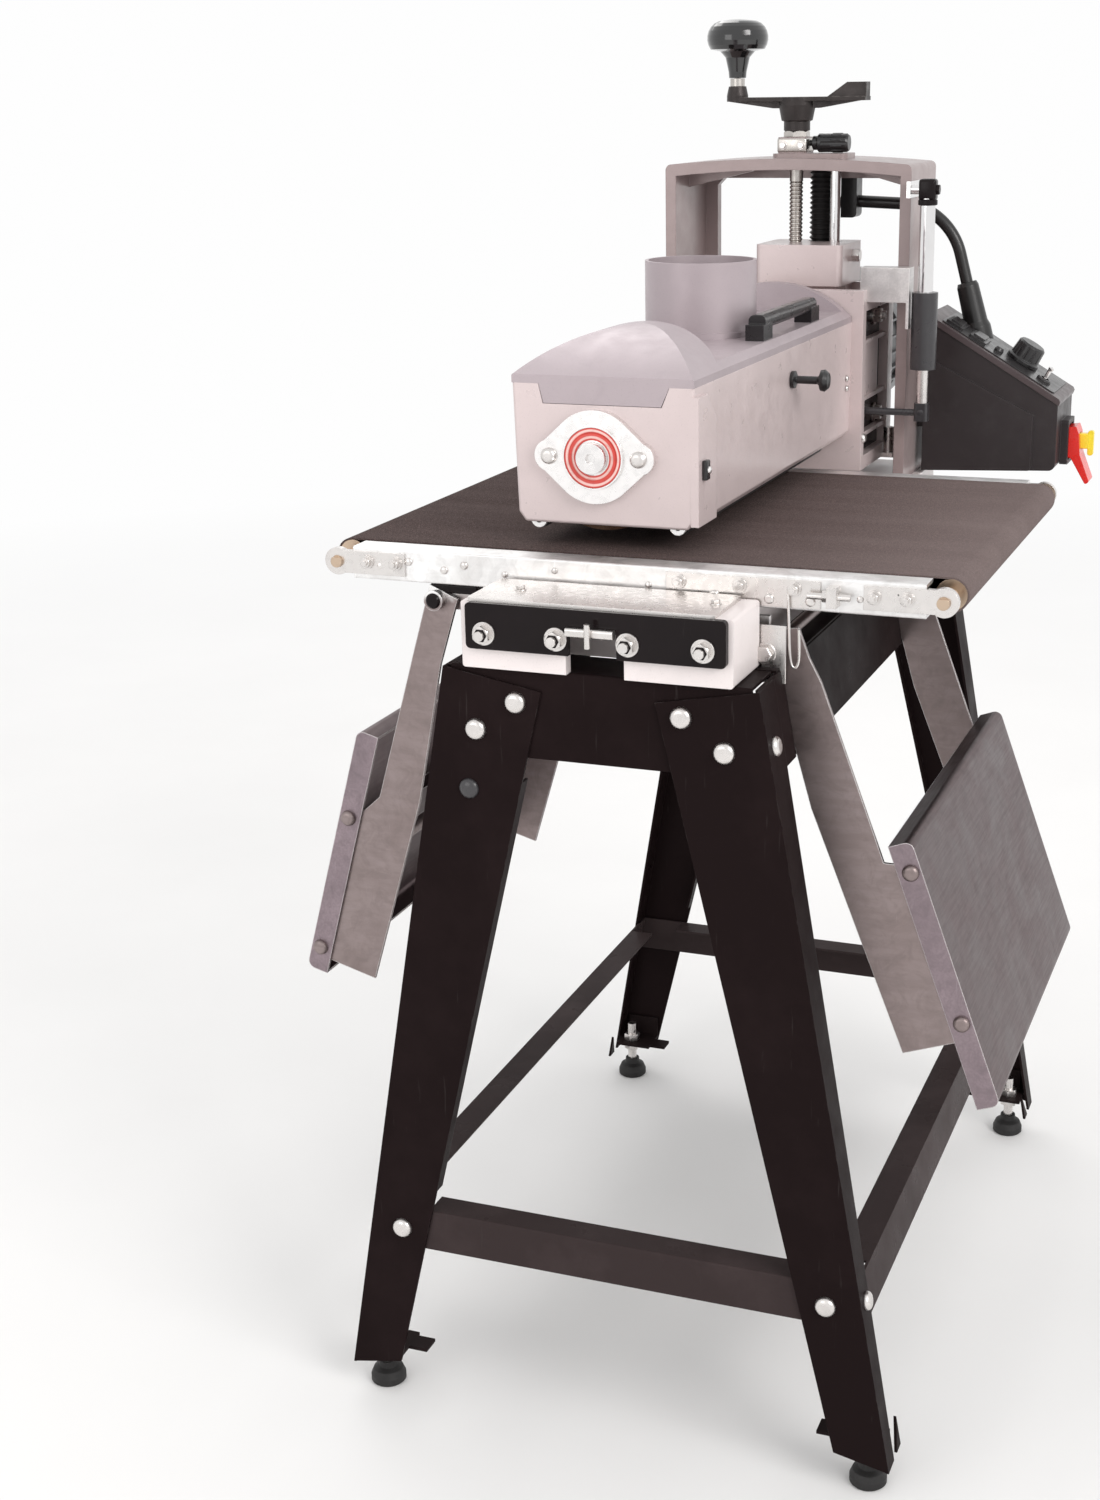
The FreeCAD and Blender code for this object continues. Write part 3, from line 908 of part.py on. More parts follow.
def controls():
    parts = {}
    low_back = -104.0
    low_front = -99.0
    front_z = panel_z(BOX_FRONT)
    lower = plate_yz([(BOX_BACK, BOX_TOP - LID_T), (BOX_FRONT + 1, panel_z(BOX_FRONT + 1) - LID_T),
                      (BOX_FRONT + 1, low_front), (BOX_BACK, low_back)], BOX_X0, BOX_X1)
    lower = round_along(lower, X_AXIS, 7, lambda c: c.y < BOX_FRONT + 2 and c.z < low_front + 1)
    guard = plate_yz([(BOX_BACK, 14.5), (-255, -42), (-254, low_front - 0.5), (BOX_BACK, low_back)],
                     BOX_X0 - 4, BOX_X0)
    guard = round_along(guard, X_AXIS, 3, lambda c: c.y < -250)
    arm = block(BOX_X0 + 8, ARCH_X1 - 8, BOX_BACK - 3, ARCH_Y0, -60, 5)
    housing = fuse([lower, guard, arm])

    lid = plate_yz([(BOX_BACK, BOX_TOP), (BOX_FRONT, front_z), (BOX_FRONT - 1.5, front_z - 3),
                    (BOX_FRONT, front_z - LID_T), (BOX_BACK, BOX_TOP - LID_T)], BOX_X0 - 1.5, BOX_X1 + 1.5)
    parts["control_lid"] = round_along(lid, X_AXIS, 1.5, lambda c: c.z > front_z - 1)

    tilt = V(0, -BOX_SLOPE, 1).normalize()

    def on_panel(x, y, lift=0.0):
        return tuple(V(x, y, panel_z(y)) + tilt * lift)

    def laid(shape, x, y, lift=0.0):
        shape.Placement = FreeCAD.Placement(V(*on_panel(x, y, lift)), FreeCAD.Rotation(Z_AXIS, tilt))
        return shape

    trim = [laid(round_along(block(-42, 42, -70, 68, 0, 1.2), Z_AXIS, 5), PANEL_X, -213)]
    for y in (-166, -190):
        bezel = round_along(block(-17, 17, -10, 10, 0, 3), Z_AXIS, 2)
        rocker = round_along(block(-13, 13, -6.5, 6.5, 2.9, 5), Z_AXIS, 1.5)
        trim.append(laid(fuse([bezel, rocker]), PANEL_X - 20, y, 1.2))
    trim.append(lathe([(0, 0), (5, 0), (5, 2), (3.5, 5), (0, 5.6)], on_panel(PANEL_X - 20, -210, 1.2), tilt))
    toggle_at = (PANEL_X - 20, -258)
    trim.append(lathe([(4.8, 0), (8, 0), (8, 2), (6.5, 3.4), (4.8, 3.4)], on_panel(*toggle_at, 1.2), tilt))
    parts["panel_plate"] = group(trim)

    knob_at = (PANEL_X + 4, -231)
    skirt = [(0, 0), (18, 0), (18, 3.5), (16, 5), (15, 19.5), (13, 21.5), (0, 21.5)]
    knob = lathe(skirt, on_panel(*knob_at, 1.5), tilt)
    for i in range(12):
        a = math.radians(30 * i)
        c = math.cos(a)
        s = math.sin(a)
        flute = rod((16.8 * c, 16.8 * s, 6), (16.2 * c, 16.2 * s, 28), 1.8)
        knob = knob.cut(laid(flute, *knob_at, 1.5))
    parts["speed_knob"] = knob

    parts["toggle_lever"] = lathe([(0, 0.7), (2.2, 0.7), (2.0, 4), (2.4, 12), (3.0, 15), (0, 16.5)],
                                  on_panel(*toggle_at, 1.6), tilt)

    px = PANEL_X
    face = BOX_FRONT - 2
    frame = round_along(block(px - 20, px + 20, face - 5, BOX_FRONT + 1, -97, -51), Y_AXIS, 3)
    frame = frame.cut(block(px - 14.5, px + 14.5, face - 6, face - 1, -92.5, -56))
    parts["control_box"] = group([housing, frame])
    paddle = plate_yz([(face - 2, -59), (face - 12, -57.5), (face - 15, -65), (face - 17, -87),
                       (face - 28, -115), (face - 24, -118), (face - 8, -91), (face - 2, -89)],
                      px - 14, px + 14)
    paddle = round_along(paddle, X_AXIS, 2.0, lambda c: c.y < face - 20)
    seat = block(px - 5.2, px + 5.2, face - 20, face - 9, -83, -65)
    parts["power_paddle"] = paddle.cut(seat)
    key = round_along(block(px - 5, px + 5, face - 24, face - 9.2, -82, -66), Y_AXIS, 1.5)
    grip = round_along(block(px - 3, px + 3, face - 29, face - 23, -89, -63), X_AXIS, 2.5)
    parts["safety_key"] = fuse([key, grip])

    r = 6.3
    points = [V(LEAD_X, -32, 167), V(LEAD_X, -145, 162), V(LEAD_X, -176, 48)]
    half_turn = (points[1] - points[0]).getAngle(points[2] - points[1]) / 2
    bend = 0.45 * (points[1] - points[0]).Length / math.tan(half_turn)
    path = bent_path(points, bend)
    start = (points[1] - points[0]).normalize()
    circle = Part.Wire([Part.Circle(points[0], start, r).toShape()])
    parts["motor_lead"] = path.makePipeShell([circle], True, True)
    print("lead: length %.1f, bend %.1f, section x length %.0f, volume %.0f"
          % (path.Length, bend, math.pi * r * r * path.Length, parts["motor_lead"].Volume))
    guide = (points[2] - points[1]).normalize()
    boot_top = tuple(points[2] - guide * 37)
    reach = 70.0
    boot = [(r, 0), (10, 0), (11.5, 4), (12.5, 42), (14.5, 48), (14.5, reach), (r, reach)]
    relief = lathe(boot, boot_top, guide)
    under_lid = plate_yz([(-100, panel_z(-100)), (-260, panel_z(-260)), (-260, -100), (-100, -100)],
                         LEAD_X - 30, LEAD_X + 30)
    relief = relief.cut(under_lid).cut(parts["motor_lead"])
    relief = relief.cut(laid(block(-42, 42, -70, 68, -1, 1.2), PANEL_X, -213))
    aim = tuple(points[0] + start * 40)
    saddle = round_along(block(ARCH_X1, LEAD_X + 11, -48, -14, 150, 198), X_AXIS, 5)
    saddle = saddle.cut(rod(tuple(points[0]), aim, r))
    parts["lead_glands"] = group([relief, saddle])
    return parts


def bent_path(points, radius):
    """Polyline through points with its inner corners rounded by tangent arcs."""
    edges = []
    last = points[0]
    for before, corner, after in zip(points, points[1:], points[2:]):
        into = (corner - before).normalize()
        out = (after - corner).normalize()
        turn = into.getAngle(out)
        cut = radius * math.tan(turn / 2)
        a = corner - into * cut
        b = corner + out * cut
        bisector = (out - into).normalize()
        centre = corner + bisector * (radius / math.cos(turn / 2))
        middle = centre - bisector * radius
        edges.append(Part.makeLine(last, a))
        edges.append(Part.Arc(a, middle, b).toShape())
        last = b
    edges.append(Part.makeLine(last, points[-1]))
    return Part.Wire(edges)


# ---- write every sub-part -----------------------------------------------------------------------
os.makedirs("parts", exist_ok=True)
nodes = {}
for section in (stand, base, bed, arch, gas_spring, head, cover, carriage, pressure_rollers, tables, controls):
    nodes.update(section())
for name, shape in nodes.items():
    placed = shape.copy()
    placed.translate(FRAME_SHIFT)
    placed.exportStep("parts/" + name + ".step")
    print("%-26s solids %2d valid %s volume %.0f" % (name, len(placed.Solids), placed.isValid(), placed.Volume))
print(len(nodes), "nodes")
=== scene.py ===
"""Looks of the open-end drum sander: procedural finishes on the CAD frame, small fittings, studio light."""
import json
import math

import bpy
import bmesh
from mathutils import Matrix, Vector


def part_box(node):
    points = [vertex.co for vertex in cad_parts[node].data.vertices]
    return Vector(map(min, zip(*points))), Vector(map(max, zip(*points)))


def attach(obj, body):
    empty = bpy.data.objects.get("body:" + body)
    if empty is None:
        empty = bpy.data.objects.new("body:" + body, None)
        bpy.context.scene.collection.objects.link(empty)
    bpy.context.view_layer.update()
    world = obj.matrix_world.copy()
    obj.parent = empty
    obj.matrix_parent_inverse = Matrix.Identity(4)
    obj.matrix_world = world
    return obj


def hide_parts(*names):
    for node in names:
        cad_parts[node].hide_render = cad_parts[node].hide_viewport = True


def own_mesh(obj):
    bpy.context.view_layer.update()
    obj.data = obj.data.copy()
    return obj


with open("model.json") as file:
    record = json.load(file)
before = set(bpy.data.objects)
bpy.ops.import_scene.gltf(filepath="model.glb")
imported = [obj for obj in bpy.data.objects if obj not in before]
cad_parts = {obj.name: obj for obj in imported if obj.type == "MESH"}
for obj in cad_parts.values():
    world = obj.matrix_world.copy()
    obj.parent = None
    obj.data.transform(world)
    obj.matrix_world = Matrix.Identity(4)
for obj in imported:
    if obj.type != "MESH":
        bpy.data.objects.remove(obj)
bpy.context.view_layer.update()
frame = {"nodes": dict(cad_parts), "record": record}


# ---- node helpers -------------------------------------------------------------------------------
class Nodes:
    """Short hand for building one material's node tree."""

    def __init__(self, name, metallic=0.0, roughness=0.5, colour=(0.5, 0.5, 0.5)):
        self.material = bpy.data.materials.new(name)
        self.material.use_nodes = True
        self.tree = self.material.node_tree
        self.shader = self.tree.nodes["Principled BSDF"]
        self.shader.inputs["Metallic"].default_value = metallic
        self.shader.inputs["Roughness"].default_value = roughness
        self.shader.inputs["Base Color"].default_value = (*colour, 1.0)

    def add(self, kind, **values):
        node = self.tree.nodes.new(kind)
        for key, value in values.items():
            setattr(node, key, value)
        return node

    def link(self, source, target):
        self.tree.links.new(source, target)

    def place(self, scale=(1, 1, 1), turn=(0, 0, 0)):
        """Object coordinates, in metres, stretched by scale."""
        coords = self.add("ShaderNodeTexCoord")
        mapping = self.add("ShaderNodeMapping")
        mapping.inputs["Scale"].default_value = scale
        mapping.inputs["Rotation"].default_value = turn
        self.link(coords.outputs["Object"], mapping.inputs["Vector"])
        return mapping.outputs["Vector"]

    def noise(self, scale, detail=4.0, rough=0.55, where=None, warp=0.0):
        node = self.add("ShaderNodeTexNoise")
        node.inputs["Scale"].default_value = scale
        node.inputs["Detail"].default_value = detail
        node.inputs["Roughness"].default_value = rough
        node.inputs["Distortion"].default_value = warp
        self.link(where or self.place(), node.inputs["Vector"])
        return node.outputs["Fac"]

    def cells(self, scale, where=None, feature="F1", output="Distance"):
        node = self.add("ShaderNodeTexVoronoi", feature=feature)
        node.inputs["Scale"].default_value = scale
        self.link(where or self.place(), node.inputs["Vector"])
        return node.outputs[output]

    def span(self, source, low, high, out_low=0.0, out_high=1.0):
        node = self.add("ShaderNodeMapRange")
        node.inputs["From Min"].default_value = low
        node.inputs["From Max"].default_value = high
        node.inputs["To Min"].default_value = out_low
        node.inputs["To Max"].default_value = out_high
        self.link(source, node.inputs["Value"])
        return node.outputs["Result"]

    def maths(self, operation, first, second=None, value=None):
        node = self.add("ShaderNodeMath", operation=operation)
        self.link(first, node.inputs[0])
        if second is not None:
            self.link(second, node.inputs[1])
        if value is not None:
            node.inputs[1].default_value = value
        return node.outputs[0]

    def mix(self, factor, first, second, blend="MIX"):
        node = self.add("ShaderNodeMix", data_type="RGBA", blend_type=blend)
        for socket, value in ((node.inputs[0], factor), (node.inputs[6], first), (node.inputs[7], second)):
            if isinstance(value, tuple):
                socket.default_value = (*value, 1.0)
            elif isinstance(value, float):
                socket.default_value = value
            else:
                self.link(value, socket)
        return node.outputs[2]

    def edges(self, radius):
        """1 on convex and concave edges within radius, 0 on flat faces."""
        bevel = self.add("ShaderNodeBevel", samples=4)
        bevel.inputs["Radius"].default_value = radius
        geometry = self.add("ShaderNodeNewGeometry")
        dot = self.add("ShaderNodeVectorMath", operation="DOT_PRODUCT")
        self.link(bevel.outputs["Normal"], dot.inputs[0])
        self.link(geometry.outputs["Normal"], dot.inputs[1])
        return self.span(dot.outputs["Value"], 0.965, 0.75)

    def bump(self, height, strength, distance, soft_edge=0.0):
        node = self.add("ShaderNodeBump")
        node.inputs["Strength"].default_value = strength
        node.inputs["Distance"].default_value = distance
        self.link(height, node.inputs["Height"])
        if soft_edge:
            bevel = self.add("ShaderNodeBevel", samples=4)
            bevel.inputs["Radius"].default_value = soft_edge
            self.link(bevel.outputs["Normal"], node.inputs["Normal"])
        self.link(node.outputs["Normal"], self.shader.inputs["Normal"])
        return node

    def colour(self, source):
        self.link(source, self.shader.inputs["Base Color"])

    def roughness(self, source):
        self.link(source, self.shader.inputs["Roughness"])


def shade(colour, factor):
    return tuple(min(1.0, c * factor) for c in colour)


def enamel(name, colour, rough=0.34, grain=0.25, wear=0.5, coat=0.25, flake=0.0):
    """Sprayed enamel over a casting: orange peel, cloudy tone, grime in the low tones, worn edges."""
    n = Nodes(name, flake, rough, colour)
    n.shader.inputs["Coat Weight"].default_value = coat
    n.shader.inputs["Coat Roughness"].default_value = 0.18
    cloud = n.noise(7.0, 5.0, 0.6)
    speck = n.noise(900.0, 2.0, 0.5)
    tone = n.mix(n.span(cloud, 0.3, 0.7), shade(colour, 0.92), shade(colour, 1.07))
    tone = n.mix(n.span(speck, 0.6, 0.75, 0.0, 0.4), tone, shade(colour, 0.75))
    smear = n.span(n.noise(38.0, 6.0, 0.7, warp=0.6), 0.56, 0.72, 0.0, 0.28)
    tone = n.mix(smear, tone, shade(colour, 0.82))
    if wear:
        edge = n.maths("MULTIPLY", n.edges(0.0016), n.span(n.noise(120.0, 4.0), 0.42, 0.6))
        tone = n.mix(n.maths("MULTIPLY", edge, value=wear), tone, shade(colour, 1.35))
    n.colour(tone)
    n.roughness(n.span(n.noise(55.0, 4.0), 0.3, 0.7, rough - 0.06, rough + 0.1))
    peel = n.maths("ADD", n.noise(420.0, 3.0), n.maths("MULTIPLY", n.noise(60.0, 3.0), value=1.6))
    n.bump(peel, grain, 0.00025, 0.0012 if wear else 0.0)
    return n.material


def powder_coat(name, colour, rough=0.36, texture=0.3, index=1.08):
    """Satin powder coat on sheet steel: fine texture, dust, long scuffs and rubbed edges."""
    n = Nodes(name, 0.0, rough, colour)
    n.shader.inputs["IOR"].default_value = index
    dust = n.span(n.noise(7.0, 6.0, 0.65), 0.48, 0.8, 0.0, 0.5)
    tone = n.mix(dust, colour, shade(colour, 2.2))
    scuff = n.noise(260.0, 3.0, 0.6, where=n.place((1.0, 1.0, 0.06), (0.3, 0.2, 0.0)))
    tone = n.mix(n.span(scuff, 0.67, 0.75, 0.0, 0.3), tone, (0.06, 0.052, 0.05))
    edge = n.maths("MULTIPLY", n.edges(0.0011), n.span(n.noise(90.0, 4.0), 0.5, 0.66, 0.0, 0.35))
    n.colour(n.mix(edge, tone, (0.16, 0.145, 0.14)))
    n.roughness(n.span(n.noise(24.0, 5.0), 0.3, 0.75, rough - 0.08, rough + 0.12))
    n.bump(n.noise(1300.0, 2.0), texture, 0.0002, 0.0009)
    return n.material


def zinc_plate(name, colour, rough=0.3, grain=(1, 1, 1), blotch=1.0, darken_below=None):
    """Zinc-plated sheet: cloudy blotches, rolling marks along grain, fine scratches, painted highlights on
    the edges.

    The last argument is (height, tone, end tone): below that height the sheet is darker, at that tone, and on
    the faces that look along X it takes the end tone instead, a lighter tone that is painted light.
    """
    n = Nodes(name, 1.0, rough, colour)
    cloud = n.noise(13.0, 6.0, 0.64, warp=0.9)
    patch = n.noise(46.0, 5.0, 0.68, warp=1.6)
    tone = n.mix(n.span(cloud, 0.32, 0.68), shade(colour, 1.0 - 0.3 * blotch),
                 shade(colour, 1.0 + 0.1 * blotch))
    tone = n.mix(n.span(patch, 0.46, 0.66, 0.0, 0.45 * blotch), tone, shade(colour, 0.5))
    rolling = n.noise(500.0, 3.0, 0.6, where=n.place(grain))
    tone = n.mix(n.span(rolling, 0.4, 0.62, 0.0, 0.3), tone, shade(colour, 0.66))
    scratch = n.noise(190.0, 4.0, 0.7, where=n.place((0.25, 1.0, 0.12), (0.5, 0.0, 0.0)), warp=0.4)
    tone = n.mix(n.span(scratch, 0.66, 0.7, 0.0, 0.4), tone, shade(colour, 1.3))
    if darken_below:
        height, low_tone, lit_end_tone = darken_below
        # painted light: faces that look along X take the lighter end tone, as if lit
        facing = n.add("ShaderNodeSeparateXYZ")
        n.link(n.add("ShaderNodeNewGeometry").outputs["Normal"], facing.inputs[0])
        along_x = n.span(n.maths("ABSOLUTE", facing.outputs["X"]), 0.6, 0.9)
        low_tone = n.mix(along_x, low_tone, lit_end_tone)
        split = n.add("ShaderNodeSeparateXYZ")
        n.link(n.place(), split.inputs[0])
        ragged = n.maths("ADD", split.outputs["Z"], n.span(cloud, 0.3, 0.7, -0.004, 0.004))
        low = n.span(ragged, height - 0.004, height + 0.004, 1.0, 0.0)
        tone = n.mix(low, tone, n.mix(1.0, tone, low_tone, "MULTIPLY"))
    # painted highlight: the sheet's edges are lightened as if they caught the light
    edge = n.span(n.edges(0.0014), 0.0, 0.8, 0.0, 0.85)
    n.colour(n.mix(edge, tone, shade(colour, 1.1)))
    wide = n.maths("MULTIPLY", n.span(cloud, 0.3, 0.7), value=0.22 * blotch)
    fine = n.maths("MULTIPLY", rolling, value=0.2)
    n.roughness(n.maths("ADD", n.maths("ADD", wide, fine), value=rough - 0.12))
    n.bump(n.maths("ADD", rolling, n.maths("MULTIPLY", cloud, value=2.0)), 0.12, 0.0001, 0.0008)
    return n.material


def turned_metal(name, colour, rough=0.2, rings=900.0, tarnish=0.25, axis="X"):
    """Bright turned or ground metal with faint tool rings along the axis and light tarnish."""
    n = Nodes(name, 1.0, rough, colour)
    band = n.add("ShaderNodeTexWave", wave_type="BANDS", bands_direction=axis)
    band.inputs["Scale"].default_value = rings / 20.0
    band.inputs["Distortion"].default_value = 1.2
    band.inputs["Detail"].default_value = 3.0
    n.link(n.place(), band.inputs["Vector"])
    stain = n.span(n.noise(42.0, 5.0, 0.6), 0.45, 0.75, 0.0, tarnish)
    n.colour(n.mix(stain, colour, shade(colour, 0.55)))
    mottled = n.span(n.noise(150.0, 4.0), 0.3, 0.7, rough - 0.05, rough + 0.12)
    n.roughness(mottled)
    n.bump(band.outputs["Fac"], 0.08, 0.00005, 0.0006)
    return n.material


def moulded(name, colour, rough=0.4, texture=0.2, scale=1500.0, coat=0.0, soft=0.0012):
    """Moulded plastic or rubber: fine mould texture, handling marks and dust."""
    n = Nodes(name, 0.0, rough, colour)
    n.shader.inputs["Coat Weight"].default_value = coat
    n.shader.inputs["Coat Roughness"].default_value = 0.08
    dust = n.span(n.noise(30.0, 6.0, 0.7), 0.5, 0.8, 0.0, 0.35)
    tone = n.mix(dust, colour, tuple(c + 0.035 for c in colour))
    edge = n.span(n.edges(0.0012), 0.0, 1.0, 0.0, 0.3)
    n.colour(n.mix(edge, tone, tuple(c * 1.3 + 0.03 for c in colour)))
    n.roughness(n.span(n.noise(70.0, 5.0, 0.65), 0.3, 0.7, max(0.03, rough - 0.06), rough + 0.1))
    n.bump(n.noise(scale, 2.0), texture, 0.00015, soft)
    return n.material


def abrasive(name, colour, grit=1800.0, streak=(1, 1, 1), dust=0.35, dust_and_sheen_colour=(0.36, 0.3, 0.25),
             sheen_ramp=None):
    """Abrasive cloth: mineral grains of several tones, wood dust lightly streaked along the travel.

    The last argument is (clean_y, full_y): a painted sheen, laid on in the dust colour, grows from nothing to
    full between these two places along Y.
    """
    n = Nodes(name, 0.0, 0.8, colour)
    n.shader.inputs["IOR"].default_value = 1.15
    grain = n.cells(grit, where=n.place())
    tone = n.mix(n.span(grain, 0.1, 0.6), shade(colour, 1.7), shade(colour, 0.5))
    speck = n.noise(620.0, 3.0, 0.7)
    tone = n.mix(n.span(speck, 0.56, 0.68, 0.0, 0.55), tone, shade(colour, 2.3))
    tone = n.mix(n.span(speck, 0.44, 0.32, 0.0, 0.5), tone, shade(colour, 0.4))
    run = n.noise(26.0, 6.0, 0.62, where=n.place(streak))
    tone = n.mix(n.span(run, 0.42, 0.75, 0.0, dust), tone, dust_and_sheen_colour)
    # painted sheen: the cloth is lightened in the dust colour towards one end, as if light glanced off it
    if sheen_ramp:
        split = n.add("ShaderNodeSeparateXYZ")
        n.link(n.place(), split.inputs[0])
        tone = n.mix(n.span(split.outputs["Y"], *sheen_ramp, 0.0, 0.24), tone, dust_and_sheen_colour)
    broad = n.noise(4.0, 4.0, 0.5)
    tone = n.mix(n.span(broad, 0.4, 0.7, 0.0, 0.2), tone, shade(colour, 0.75))
    n.colour(tone)
    n.roughness(n.span(grain, 0.0, 0.5, 0.62, 0.9))
    n.bump(n.maths("ADD", grain, speck), 0.55, 0.0003)
    return n.material


def ringed_seal(name, colour, pale, centre, pitch):
    """Moulded seal with raised rings about an axis along X through centre (y, z)."""
    n = Nodes(name, 0.0, 0.35, colour)
    split = n.add("ShaderNodeSeparateXYZ")
    n.link(n.place(), split.inputs[0])
    across = n.maths("SUBTRACT", split.outputs["Y"], value=centre[0])
    up = n.maths("SUBTRACT", split.outputs["Z"], value=centre[1])
    squares = n.maths("ADD", n.maths("MULTIPLY", across, across), n.maths("MULTIPLY", up, up))
    radius = n.maths("SQRT", squares)
    wave = n.maths("SINE", n.maths("MULTIPLY", radius, value=2 * math.pi / pitch))
    dirt = n.span(n.noise(160.0, 5.0, 0.6), 0.5, 0.7, 0.0, 0.3)
    tone = n.mix(n.span(wave, 0.0, 0.7), colour, pale)
    n.colour(n.mix(dirt, tone, shade(colour, 0.55)))
    n.roughness(n.span(n.noise(90.0, 4.0), 0.3, 0.7, 0.28, 0.45))
    n.bump(wave, 0.5, 0.0006)
    return n.material


def rough_casting(name, colour, rough=0.5, polish=0.0):
    """Blackened iron casting: sand texture, polished high edges."""
    n = Nodes(name, 0.55, rough, colour)
    cloud = n.noise(24.0, 5.0, 0.6)
    tone = n.mix(n.span(cloud, 0.35, 0.7), shade(colour, 0.8), shade(colour, 1.5))
    edge = n.maths("MULTIPLY", n.edges(0.0015), n.span(n.noise(140.0, 3.0), 0.4, 0.6, 0.1, 0.6))
    n.colour(n.mix(edge, tone, (0.32, 0.29, 0.27)))
    n.roughness(n.span(n.noise(90.0, 4.0), 0.3, 0.7, rough - 0.1, rough + 0.12))
    sand = n.maths("ADD", n.noise(700.0, 4.0), n.maths("MULTIPLY", n.noise(150.0, 3.0), value=1.5))
    n.bump(sand, 0.4, 0.0004, 0.0012)
    return n.material


drum_low, drum_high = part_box("sanding_drum")
AXIS_Y = (drum_low[1] + drum_high[1]) / 2
AXIS_Z = (drum_low[2] + drum_high[2]) / 2
rail_low, rail_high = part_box("bed_rails")

